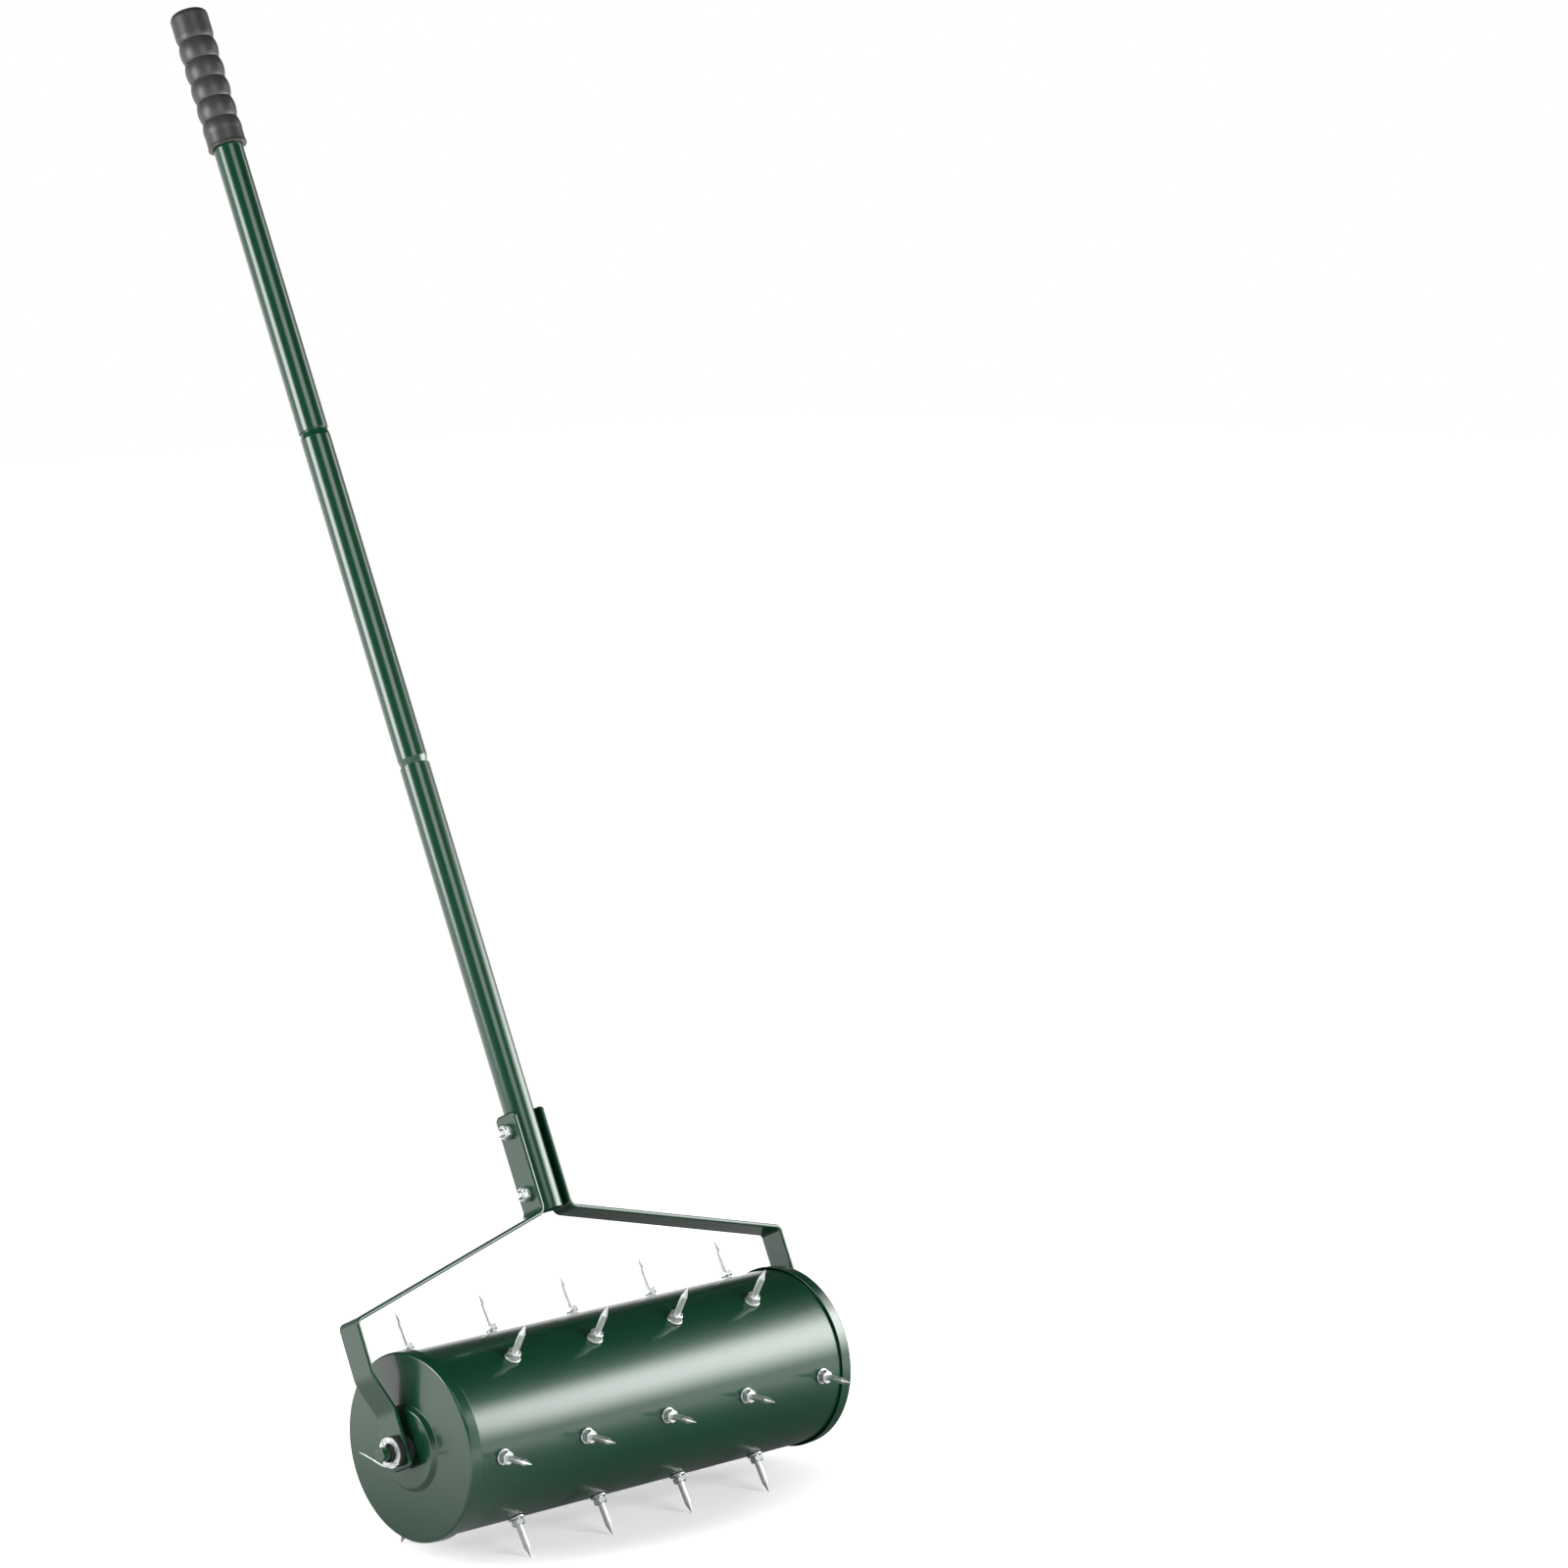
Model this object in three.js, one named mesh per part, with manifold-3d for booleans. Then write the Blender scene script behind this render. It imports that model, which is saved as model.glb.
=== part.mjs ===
// A rolling spike aerator: a spiked steel drum that turns in a fork at the foot of a long
// handle, and is pushed over a lawn to prick holes in it. It stands on two rows of its spikes,
// with the handle leaning back. Millimetres, +Z up. X runs along the axle, and the handle
// leans towards +Y, the side on which the person walks.

import * as THREE from 'three';
import { mergeVertices } from 'three/addons/utils/BufferGeometryUtils.js';
import Module from 'manifold-3d';

const wasm = await Module();
wasm.setup();

// Fits shared by the whole tool
const FIT_GAP = 0.3;
const RUNNING_GAP = 0.3;
const HOLE_CLEARANCE = 0.3;
const CUT_OVERRUN = 3;
const WELD_DISTANCE = 0.001;

// Drum: a rolled sheet shell between two pressed end caps, whose rims go over the shell
const SHELL_RADIUS = 81.8;
const SHELL_WALL = 1.2;
const CAP_SHEET = 1.5;
const CAP_RIM_DEPTH = 12.5;
const CAP_EDGE_RADIUS = 3;
const BOSS_FOOT_RADIUS = 38.5;
const BOSS_TOP_RADIUS = 33;
const BOSS_HEIGHT = 4;
const DRUM_SIDES = 40;
const EDGE_STEPS = 3;

// Spikes: a flanged rivet nut in the shell, and a hexagon collar that is tightened into it
const ROW_COUNT = 6;
const FULLER_ROW_COUNT = 5;
const SPARSER_ROW_COUNT = 4;
const SPIKE_PITCH = 95.8;
const SPIKE_END_MARGIN = 36.9;
const SPIKE_LENGTH = 37.7;
const SPIKE_POINT_LENGTH = 10;
const SPIKE_SHANK_DIAMETER = 5.8;
const COLLAR_FLATS = 11;
const COLLAR_HEIGHT = 5.8;
const FLANGE_DIAMETER = 14.4;
const FLANGE_THICKNESS = 1.9;
const STUD_DIAMETER = 7.6;
const STUD_LENGTH = 9;
const SPIKE_SIDES = 10;
const ROW_NAMES = ['a', 'b', 'c', 'd', 'e', 'f'];

// Hub and axle: a tube through both caps, a flanged bush in each of its ends, and a plain rod.
// Outside each leg a dark spacer ring carries the outer washer on its neck.
const AXLE_DIAMETER = 12.7;
const AXLE_OVERHANG = 7.6;
const HUB_BUSH_WALL = 2;
const HUB_BUSH_DEPTH = 18;
const HUB_FLANGE_DIAMETER = 27;
const HUB_FLANGE_THICKNESS = 2.6;
const HUB_TUBE_WALL = 1.5;
const WASHER_DIAMETER = 27.4;
const INNER_WASHER_THICKNESS = 3;
const SPACER_THICKNESS = 5;
const OUTER_WASHER_THICKNESS = 2.2;
const COLLAR_RING_DIAMETER = 19;
const COLLAR_RING_THICKNESS = 3.2;
const ROUND_SIDES = 20;

// Cotter pins: one wire, folded to an eye above the axle, its two legs spread below it
const COTTER_WIRE = 1.6;
const COTTER_EYE_RADIUS = 2.6;
const COTTER_EYE_STAND = 1.2;
const COTTER_BEND_DROP = 4.2;
const COTTER_LONG_LEG = 34;
const COTTER_LONG_RISE = 6.5;
const COTTER_SHORT_LEG = 20;
const COTTER_SHORT_RISE = 5.5;
const COTTER_SIDES = 6;
const COTTER_STEPS = 40;

// Fork: two flat bars, each bent from a bracket plate over the drum and down to the axle.
// Heights are above the axle, along the handle, on the middle line of the bar's thickness.
const BAR_WIDTH = 28.5;
const BAR_THICKNESS = 4;
const BAR_CORNER_RADIUS = 5;
const PLATE_END_MARGIN = 15.5;
const NECK_HEIGHT = 176.7;
const SHOULDER_HEIGHT = 116.7;
const JOGGLE_TOP_HEIGHT = 66;
const JOGGLE_FOOT_HEIGHT = 34;
const JOGGLE_OFFSET = 12.4;
const LEG_TAIL = 17;
const NECK_BEND_RADIUS = 8;
const SHOULDER_BEND_RADIUS = 5;
const JOGGLE_BEND_RADIUS = 12;
const BEND_STEPS = 5;
const CORNER_STEPS = 4;

// Handle: three lengths of tube, the middle one swaged down at both ends
const HANDLE_LEAN_DEGREES = 24;
const TUBE_DIAMETER = 28.6;
const TUBE_WALL = 1.2;
const TUBE_FOOT_RISE = 1.8;
const SECTION_LENGTH = 429;
const UPPER_SECTION_LENGTH = 423.5;
const SPIGOT_LENGTH = 48;
const SPIGOT_REVEAL = 1;
const SWAGE_LENGTH = 6;
const TUBE_SIDES = 24;

// Bracket fasteners: bolts through both plates and the tube, self-locking nuts on the left
const BOLT_DIAMETER = 8;
const BOLT_RISE = 18.5;
const BOLT_SPACING = 59;
const BOLT_HEAD_HEIGHT = 5.3;
const BOLT_END = 4;
const HEXAGON_FLATS = 13;
const NUT_HEIGHT = 6.2;
const NUT_COLLAR_DIAMETER = 11.6;
const NUT_COLLAR_HEIGHT = 1.8;
const BOLT_SIDES = 16;

// Grip: a rubber sleeve closed at its top, with four finger ribs
const GRIP_LENGTH = 139.5;
const GRIP_RADIUS = 18.2;
const GRIP_RIB_RADIUS = 18.6;
const GRIP_WAIST_RADIUS = 16.3;
const GRIP_END_WALL = 5;
const GRIP_HEAD_LENGTH = 30;
const GRIP_HEAD_ROUND = 6;
const GRIP_LIP_HEIGHT = 3;
const GRIP_LIP_STAND = 0.5;
const RIB_PITCH = 20.4;
const RIB_COUNT = 4;
const RIB_SHARES = [0, 0.12, 0.5, 0.88];
const ROUND_STEPS = 3;
const GRIP_SIDES = 24;

// Radii that follow from the sizes above
const AXLE_RADIUS = AXLE_DIAMETER / 2;
const HUB_BUSH_BORE = AXLE_RADIUS + RUNNING_GAP;
const HUB_BUSH_RADIUS = HUB_BUSH_BORE + HUB_BUSH_WALL;
const HUB_TUBE_BORE = HUB_BUSH_RADIUS + FIT_GAP;
const HUB_TUBE_RADIUS = HUB_TUBE_BORE + HUB_TUBE_WALL;
const CAP_HOLE_RADIUS = HUB_TUBE_RADIUS + FIT_GAP;
const CAP_INNER_RADIUS = SHELL_RADIUS + FIT_GAP;
const CAP_RADIUS = CAP_INNER_RADIUS + CAP_SHEET;
const LEG_HOLE_RADIUS = AXLE_RADIUS + RUNNING_GAP;
const WASHER_RADIUS = WASHER_DIAMETER / 2;
const WASHER_BORE = AXLE_RADIUS + HOLE_CLEARANCE;
const COLLAR_RING_RADIUS = COLLAR_RING_DIAMETER / 2;
const OUTER_WASHER_BORE = COLLAR_RING_RADIUS + FIT_GAP;
const BOLT_RADIUS = BOLT_DIAMETER / 2;
const BOLT_HOLE_RADIUS = BOLT_RADIUS + HOLE_CLEARANCE;
const TUBE_RADIUS = TUBE_DIAMETER / 2;
const TUBE_BORE = TUBE_RADIUS - TUBE_WALL;
const SPIGOT_RADIUS = TUBE_BORE - FIT_GAP;
const STUD_RADIUS = STUD_DIAMETER / 2;
const STUD_HOLE_RADIUS = STUD_RADIUS + HOLE_CLEARANCE;
const COTTER_WIRE_RADIUS = COTTER_WIRE / 2;
const COTTER_LEG_OFFSET = COTTER_WIRE_RADIUS + FIT_GAP / 2;
const COTTER_HOLE_RADIUS = COTTER_LEG_OFFSET + COTTER_WIRE_RADIUS + HOLE_CLEARANCE;

// Places along the axle, as distances out from the middle of the drum
const DRUM_LENGTH = (FULLER_ROW_COUNT - 1) * SPIKE_PITCH + 2 * SPIKE_END_MARGIN;
const CAP_FACE = DRUM_LENGTH / 2;
const BOSS_FACE = CAP_FACE + BOSS_HEIGHT;
const HUB_FLANGE_FACE = BOSS_FACE + FIT_GAP + HUB_FLANGE_THICKNESS;
const INNER_WASHER_FACE = HUB_FLANGE_FACE + FIT_GAP + INNER_WASHER_THICKNESS;
const LEG_INNER_FACE = INNER_WASHER_FACE + FIT_GAP;
const LEG_OUTER_FACE = LEG_INNER_FACE + BAR_THICKNESS;
const SPACER_FOOT = LEG_OUTER_FACE + FIT_GAP;
const SPACER_FACE = SPACER_FOOT + SPACER_THICKNESS;
const OUTER_WASHER_FACE = SPACER_FACE + FIT_GAP + OUTER_WASHER_THICKNESS;
const COLLAR_RING_FACE = OUTER_WASHER_FACE + COLLAR_RING_THICKNESS;
const COTTER_PLACE = COLLAR_RING_FACE + FIT_GAP + COTTER_HOLE_RADIUS;
const AXLE_END = COLLAR_RING_FACE + AXLE_OVERHANG;

// Places along the handle, as heights above the axle
const TUBE_FOOT_HEIGHT = NECK_HEIGHT + TUBE_FOOT_RISE;
const LOWER_BOLT_HEIGHT = TUBE_FOOT_HEIGHT + BOLT_RISE;
const UPPER_BOLT_HEIGHT = LOWER_BOLT_HEIGHT + BOLT_SPACING;
const PLATE_TOP_HEIGHT = UPPER_BOLT_HEIGHT + PLATE_END_MARGIN;
const MIDDLE_TUBE_FOOT = TUBE_FOOT_HEIGHT + SECTION_LENGTH - SPIGOT_LENGTH;
const UPPER_TUBE_FOOT = MIDDLE_TUBE_FOOT + SECTION_LENGTH - SPIGOT_LENGTH;
const TUBE_TOP_HEIGHT = UPPER_TUBE_FOOT + UPPER_SECTION_LENGTH;
const GRIP_FOOT_HEIGHT = TUBE_TOP_HEIGHT + FIT_GAP + GRIP_END_WALL - GRIP_LENGTH;
const PLATE_INNER_FACE = TUBE_RADIUS + FIT_GAP;
const PLATE_OUTER_FACE = PLATE_INNER_FACE + BAR_THICKNESS;

const PAINT = new THREE.MeshStandardMaterial({ color: 0x2c5543, roughness: 0.25, metalness: 0 });
const ZINC = new THREE.MeshStandardMaterial({ color: 0xc3cac8, roughness: 0.3, metalness: 1 });
const BARE_STEEL = new THREE.MeshStandardMaterial({ color: 0x8d9390, roughness: 0.4, metalness: 1 });
const RUBBER = new THREE.MeshStandardMaterial({ color: 0x333735, roughness: 0.6, metalness: 0 });
const NYLON = new THREE.MeshStandardMaterial({ color: 0x141615, roughness: 0.5, metalness: 0 });

// One skin with shared corners and no collapsed triangles
function weld(geometry) {
  const bare = geometry.clone();
  bare.deleteAttribute('normal');
  bare.deleteAttribute('uv');
  const merged = mergeVertices(bare, WELD_DISTANCE);
  const corners = merged.index.array;
  const kept = [];
  for (let i = 0; i < corners.length; i += 3) {
    const [a, b, c] = [corners[i], corners[i + 1], corners[i + 2]];
    if (a !== b && b !== c && c !== a) {
      kept.push(a, b, c);
    }
  }
  merged.setIndex(kept);
  return merged;
}

function toSolid(geometry) {
  const skin = weld(geometry);
  const vertProperties = new Float32Array(skin.attributes.position.array);
  const triVerts = new Uint32Array(skin.index.array);
  return new wasm.Manifold(new wasm.Mesh({ numProp: 3, vertProperties, triVerts }));
}

function fromSolid(solid) {
  const mesh = solid.getMesh();
  const geometry = new THREE.BufferGeometry();
  geometry.setAttribute('position', new THREE.BufferAttribute(new Float32Array(mesh.vertProperties), 3));
  geometry.setIndex(Array.from(mesh.triVerts));
  return geometry;
}

// The body without what each cutter takes out of it
function cut(geometry, cutters) {
  let solid = toSolid(geometry);
  for (const cutter of cutters) {
    solid = solid.subtract(toSolid(cutter));
  }
  return fromSolid(solid);
}

function join(first, second) {
  return fromSolid(toSolid(first).add(toSolid(second)));
}

// A profile of [radius, height] points turned about Z. It starts and ends on the axis, or is
// a loop that runs up its outer side.
function turned(profile, sides) {
  const points = profile.map(([radius, height]) => new THREE.Vector2(radius, height));
  return weld(new THREE.LatheGeometry(points, sides).rotateX(Math.PI / 2));
}

// A plain ring or tube about Z, from one height to another
function sleeve(bore, radius, foot, top, sides) {
  return turned([[bore, foot], [radius, foot], [radius, top], [bore, top], [bore, foot]], sides);
}

// A rod about Z, from one height to another
function rod(radius, foot, top, sides) {
  return turned([[0, foot], [radius, foot], [radius, top], [0, top]], sides);
}

// A hexagon bar about Z, given across its flats
function hexagonBar(flats, foot, top) {
  const cornerRadius = flats / Math.sqrt(3);
  const bar = new THREE.CylinderGeometry(cornerRadius, cornerRadius, top - foot, 6);
  return bar.rotateX(Math.PI / 2).translate(0, 0, (foot + top) / 2);
}

function mesh(name, geometry, material) {
  const piece = new THREE.Mesh(geometry, material);
  piece.name = name;
  return piece;
}

// Puts a piece that was turned about Z on the axle's line, its +Z pointing out on that side
function alongAxle(piece, side) {
  piece.rotation.y = side * Math.PI / 2;
  return piece;
}

// The points of an arc round a centre, from one angle to another
function arcPoints(centre, radius, from, to, steps) {
  return Array.from({ length: steps + 1 }, (_, step) => {
    const angle = from + (to - from) * step / steps;
    return new THREE.Vector2(
      centre.x + radius * Math.cos(angle),
      centre.y + radius * Math.sin(angle),
    );
  });
}

// One face of a bent bar: the middle line through the given corners, each rounded to its bend
// radius, moved sideways by the offset. To the left of the direction of travel is positive.
function bentFace(corners, radii, offset) {
  const points = [];
  const last = corners.length - 1;
  const heading = (i) => corners[i + 1].clone().sub(corners[i]).normalize();
  const leftOf = (direction) => new THREE.Vector2(-direction.y, direction.x);
  points.push(corners[0].clone().addScaledVector(leftOf(heading(0)), offset));
  for (let i = 1; i < last; i += 1) {
    const before = heading(i - 1);
    const after = heading(i);
    const turn = Math.sign(before.cross(after));
    const angle = Math.acos(before.dot(after));
    const setback = radii[i - 1] * Math.tan(angle / 2);
    const start = corners[i].clone().addScaledVector(before, -setback);
    const centre = start.clone().addScaledVector(leftOf(before), turn * radii[i - 1]);
    const from = leftOf(before).multiplyScalar(-turn).angle();
    points.push(...arcPoints(centre, radii[i - 1] - turn * offset, from, from + turn * angle, BEND_STEPS));
  }
  points.push(corners[last].clone().addScaledVector(leftOf(heading(last - 1)), offset));
  return points;
}

// The drum's shell: a tube with a hole under each spike
function drumShell() {
  const halfLength = CAP_FACE - CAP_EDGE_RADIUS - FIT_GAP;
  const tube = sleeve(SHELL_RADIUS - SHELL_WALL, SHELL_RADIUS, -halfLength, halfLength, DRUM_SIDES);
  tube.rotateY(Math.PI / 2);
  const holes = [];
  for (const { x, angle } of spikePlaces()) {
    const foot = SHELL_RADIUS - SHELL_WALL - CUT_OVERRUN;
    const hole = rod(STUD_HOLE_RADIUS, foot, SHELL_RADIUS + CUT_OVERRUN, SPIKE_SIDES);
    holes.push(hole.translate(x, 0, 0).rotateX(angle));
  }
  return cut(tube, holes);
}

// A pressed end cap: a rim over the shell, a flat face and a raised boss round the hub tube.
// Heights are distances out from the middle of the drum.
function endCap() {
  const rimFoot = CAP_FACE - CAP_RIM_DEPTH;
  const edge = new THREE.Vector2(CAP_RADIUS - CAP_EDGE_RADIUS, CAP_FACE - CAP_EDGE_RADIUS);
  const rounded = arcPoints(edge, CAP_EDGE_RADIUS, 0, Math.PI / 2, EDGE_STEPS);
  const innerFace = CAP_FACE - CAP_SHEET;
  const slope = Math.atan2(BOSS_HEIGHT, BOSS_FOOT_RADIUS - BOSS_TOP_RADIUS);
  const slopeShift = CAP_SHEET * Math.tan(slope / 2);
  const profile = [
    [CAP_INNER_RADIUS, rimFoot],
    [CAP_RADIUS, rimFoot],
    ...rounded.map((point) => [point.x, point.y]),
    [BOSS_FOOT_RADIUS, CAP_FACE],
    [BOSS_TOP_RADIUS, BOSS_FACE],
    [CAP_HOLE_RADIUS, BOSS_FACE],
    [CAP_HOLE_RADIUS, BOSS_FACE - CAP_SHEET],
    [BOSS_TOP_RADIUS - slopeShift, BOSS_FACE - CAP_SHEET],
    [BOSS_FOOT_RADIUS - slopeShift, innerFace],
    [edge.x, innerFace],
    [CAP_INNER_RADIUS, edge.y],
    [CAP_INNER_RADIUS, rimFoot],
  ];
  return turned(profile, DRUM_SIDES);
}

// A spike on its rivet nut, pointing up, its flange resting on height zero
function spike() {
  const shankRadius = SPIKE_SHANK_DIAMETER / 2;
  const flangeRadius = FLANGE_DIAMETER / 2;
  const collarTop = FLANGE_THICKNESS + COLLAR_HEIGHT;
  const profile = [
    [0, -STUD_LENGTH],
    [STUD_RADIUS, -STUD_LENGTH],
    [STUD_RADIUS, 0],
    [flangeRadius, 0],
    [flangeRadius, FLANGE_THICKNESS],
    [shankRadius, FLANGE_THICKNESS],
    [shankRadius, SPIKE_LENGTH - SPIKE_POINT_LENGTH],
    [0, SPIKE_LENGTH],
  ];
  const collar = hexagonBar(COLLAR_FLATS, FLANGE_THICKNESS / 2, collarTop);
  return join(turned(profile, SPIKE_SIDES), collar);
}

// Where the spikes stand: six rows round the drum, of four and five in turn, so that the
// spikes of one row stand opposite the gaps of the next. The drum rests on the last row and
// the first, half a step to each side of straight down.
function spikePlaces() {
  const places = [];
  const rowStep = 2 * Math.PI / ROW_COUNT;
  for (let row = 0; row < ROW_COUNT; row += 1) {
    const count = row % 2 === 0 ? SPARSER_ROW_COUNT : FULLER_ROW_COUNT;
    for (let i = 0; i < count; i += 1) {
      const x = (i - (count - 1) / 2) * SPIKE_PITCH;
      const angle = Math.PI - (row + 1 / 2) * rowStep;
      places.push({ name: `spike_${ROW_NAMES[row]}${i + 1}`, x, angle });
    }
  }
  return places;
}

function spikes() {
  const geometry = spike();
  return spikePlaces().map(({ name, x, angle }) => {
    const row = new THREE.Group();
    row.rotation.x = angle;
    const piece = mesh(name, geometry, ZINC);
    piece.position.set(x, 0, SHELL_RADIUS + FIT_GAP);
    row.add(piece);
    return row;
  });
}

// A bush with a flange outside, both about Z, the flange's outer side at the given height
function flangedBush(bore, radius, flangeRadius, depth, flangeThickness, outerFace) {
  const seat = outerFace - flangeThickness;
  const profile = [
    [bore, seat - depth],
    [radius, seat - depth],
    [radius, seat],
    [flangeRadius, seat],
    [flangeRadius, outerFace],
    [bore, outerFace],
    [bore, seat - depth],
  ];
  return turned(profile, ROUND_SIDES);
}

// The axle: a rod with a cross hole near each end for its cotter pin
function axleRod() {
  const bar = rod(AXLE_RADIUS, -AXLE_END, AXLE_END, ROUND_SIDES).rotateY(Math.PI / 2);
  const reach = AXLE_RADIUS + CUT_OVERRUN;
  const crossHole = rod(COTTER_HOLE_RADIUS, -reach, reach, SPIKE_SIDES);
  return cut(bar, [1, -1].map((side) => crossHole.clone().translate(side * COTTER_PLACE, 0, 0)));
}

// A cotter pin in the plane of Y and Z: from the tip of the long leg to the axle, up through
// it, round the eye, down again and out along the short leg
function cotterPin() {
  const bendHeight = -(AXLE_RADIUS + COTTER_BEND_DROP);
  const eyeHeight = AXLE_RADIUS + COTTER_EYE_STAND + COTTER_EYE_RADIUS;
  const corner = COTTER_LEG_OFFSET + COTTER_WIRE;
  const eyeLeft = COTTER_EYE_RADIUS;
  const places = [
    [COTTER_LONG_LEG, bendHeight + COTTER_LONG_RISE],
    [COTTER_LONG_LEG / 2, bendHeight + COTTER_LONG_RISE / 2],
    [corner, bendHeight],
    [COTTER_LEG_OFFSET, bendHeight + COTTER_WIRE],
    [COTTER_LEG_OFFSET, 0],
    [COTTER_LEG_OFFSET, AXLE_RADIUS],
    [eyeLeft, eyeHeight],
    [0, eyeHeight + COTTER_EYE_RADIUS],
    [-eyeLeft, eyeHeight],
    [-COTTER_LEG_OFFSET, AXLE_RADIUS],
    [-COTTER_LEG_OFFSET, 0],
    [-COTTER_LEG_OFFSET, bendHeight + COTTER_WIRE],
    [-corner, bendHeight],
    [-COTTER_SHORT_LEG / 2, bendHeight + COTTER_SHORT_RISE / 2],
    [-COTTER_SHORT_LEG, bendHeight + COTTER_SHORT_RISE],
  ];
  const route = new THREE.CatmullRomCurve3(places.map(([y, z]) => new THREE.Vector3(0, y, z)));
  const section = new THREE.Shape(arcPoints(
    new THREE.Vector2(),
    COTTER_WIRE_RADIUS,
    0,
    2 * Math.PI * (COTTER_SIDES - 1) / COTTER_SIDES,
    COTTER_SIDES - 1,
  ));
  return new THREE.ExtrudeGeometry(section, { steps: COTTER_STEPS, extrudePath: route });
}

// A fork bar on one side, in the handle's own frame: Z along the handle, Y across the bar
function forkBar(side) {
  const plateLine = PLATE_INNER_FACE + BAR_THICKNESS / 2;
  const legLine = LEG_INNER_FACE + BAR_THICKNESS / 2;
  const shoulderLine = legLine + JOGGLE_OFFSET;
  const corners = [
    new THREE.Vector2(side * plateLine, PLATE_TOP_HEIGHT),
    new THREE.Vector2(side * plateLine, NECK_HEIGHT),
    new THREE.Vector2(side * shoulderLine, SHOULDER_HEIGHT),
    new THREE.Vector2(side * shoulderLine, JOGGLE_TOP_HEIGHT),
    new THREE.Vector2(side * legLine, JOGGLE_FOOT_HEIGHT),
    new THREE.Vector2(side * legLine, -LEG_TAIL),
  ];
  const radii = [NECK_BEND_RADIUS, SHOULDER_BEND_RADIUS, JOGGLE_BEND_RADIUS, JOGGLE_BEND_RADIUS];
  const faces = [1, -1].map((hand) => bentFace(corners, radii, hand * BAR_THICKNESS / 2));
  const outline = new THREE.Shape([...faces[0], ...faces[1].reverse()]);
  const strip = new THREE.ExtrudeGeometry(outline, { depth: BAR_WIDTH, bevelEnabled: false });
  strip.rotateX(Math.PI / 2).translate(0, BAR_WIDTH / 2, 0);
  const rounded = fromSolid(toSolid(strip).intersect(toSolid(barEnds(shoulderLine))));
  const reach = shoulderLine + CUT_OVERRUN;
  const holes = [
    rod(BOLT_HOLE_RADIUS, 0, reach, BOLT_SIDES).rotateY(Math.PI / 2).translate(0, 0, LOWER_BOLT_HEIGHT),
    rod(BOLT_HOLE_RADIUS, 0, reach, BOLT_SIDES).rotateY(Math.PI / 2).translate(0, 0, UPPER_BOLT_HEIGHT),
    rod(LEG_HOLE_RADIUS, 0, reach, ROUND_SIDES).rotateY(Math.PI / 2),
  ];
  return cut(rounded, holes.map((hole) => (side > 0 ? hole : hole.rotateZ(Math.PI))));
}

// A block as wide as a fork bar with rounded corners at both ends, which rounds off the bar
function barEnds(shoulderLine) {
  const half = BAR_WIDTH / 2;
  const inset = half - BAR_CORNER_RADIUS;
  const upper = PLATE_TOP_HEIGHT - BAR_CORNER_RADIUS;
  const lower = BAR_CORNER_RADIUS - LEG_TAIL;
  const quarter = Math.PI / 2;
  const round = (x, y, turn) => arcPoints(
    new THREE.Vector2(x, y),
    BAR_CORNER_RADIUS,
    turn * quarter,
    (turn + 1) * quarter,
    CORNER_STEPS,
  );
  const outline = new THREE.Shape([
    ...round(inset, upper, 0),
    ...round(-inset, upper, 1),
    ...round(-inset, lower, 2),
    ...round(inset, lower, 3),
  ]);
  const reach = shoulderLine + BAR_THICKNESS + CUT_OVERRUN;
  const block = new THREE.ExtrudeGeometry(outline, { depth: 2 * reach, bevelEnabled: false });
  const turn = new THREE.Matrix4().makeBasis(
    new THREE.Vector3(0, 1, 0),
    new THREE.Vector3(0, 0, 1),
    new THREE.Vector3(1, 0, 0),
  );
  return block.translate(0, 0, -reach).applyMatrix4(turn);
}

// The lowest length of tube, drilled for the two bracket bolts
function lowerTube() {
  const top = TUBE_FOOT_HEIGHT + SECTION_LENGTH;
  const tube = sleeve(TUBE_BORE, TUBE_RADIUS, TUBE_FOOT_HEIGHT, top, TUBE_SIDES);
  const reach = TUBE_RADIUS + CUT_OVERRUN;
  const holes = [LOWER_BOLT_HEIGHT, UPPER_BOLT_HEIGHT].map((height) => (
    rod(BOLT_HOLE_RADIUS, -reach, reach, BOLT_SIDES).rotateY(Math.PI / 2).translate(0, 0, height)
  ));
  return cut(tube, holes);
}

// The middle length of tube, with a spigot at each end that goes into its neighbour
function middleTube() {
  const top = MIDDLE_TUBE_FOOT + SECTION_LENGTH;
  const spigotBore = SPIGOT_RADIUS - TUBE_WALL;
  const neckLength = SPIGOT_LENGTH + SPIGOT_REVEAL;
  const lowNeck = MIDDLE_TUBE_FOOT + neckLength;
  const highNeck = top - neckLength;
  const profile = [
    [spigotBore, MIDDLE_TUBE_FOOT],
    [SPIGOT_RADIUS, MIDDLE_TUBE_FOOT],
    [SPIGOT_RADIUS, lowNeck],
    [TUBE_RADIUS, lowNeck + SWAGE_LENGTH],
    [TUBE_RADIUS, highNeck - SWAGE_LENGTH],
    [SPIGOT_RADIUS, highNeck],
    [SPIGOT_RADIUS, top],
    [spigotBore, top],
    [spigotBore, highNeck],
    [TUBE_BORE, highNeck - SWAGE_LENGTH],
    [TUBE_BORE, lowNeck + SWAGE_LENGTH],
    [spigotBore, lowNeck],
    [spigotBore, MIDDLE_TUBE_FOOT],
  ];
  return turned(profile, TUBE_SIDES);
}

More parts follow.
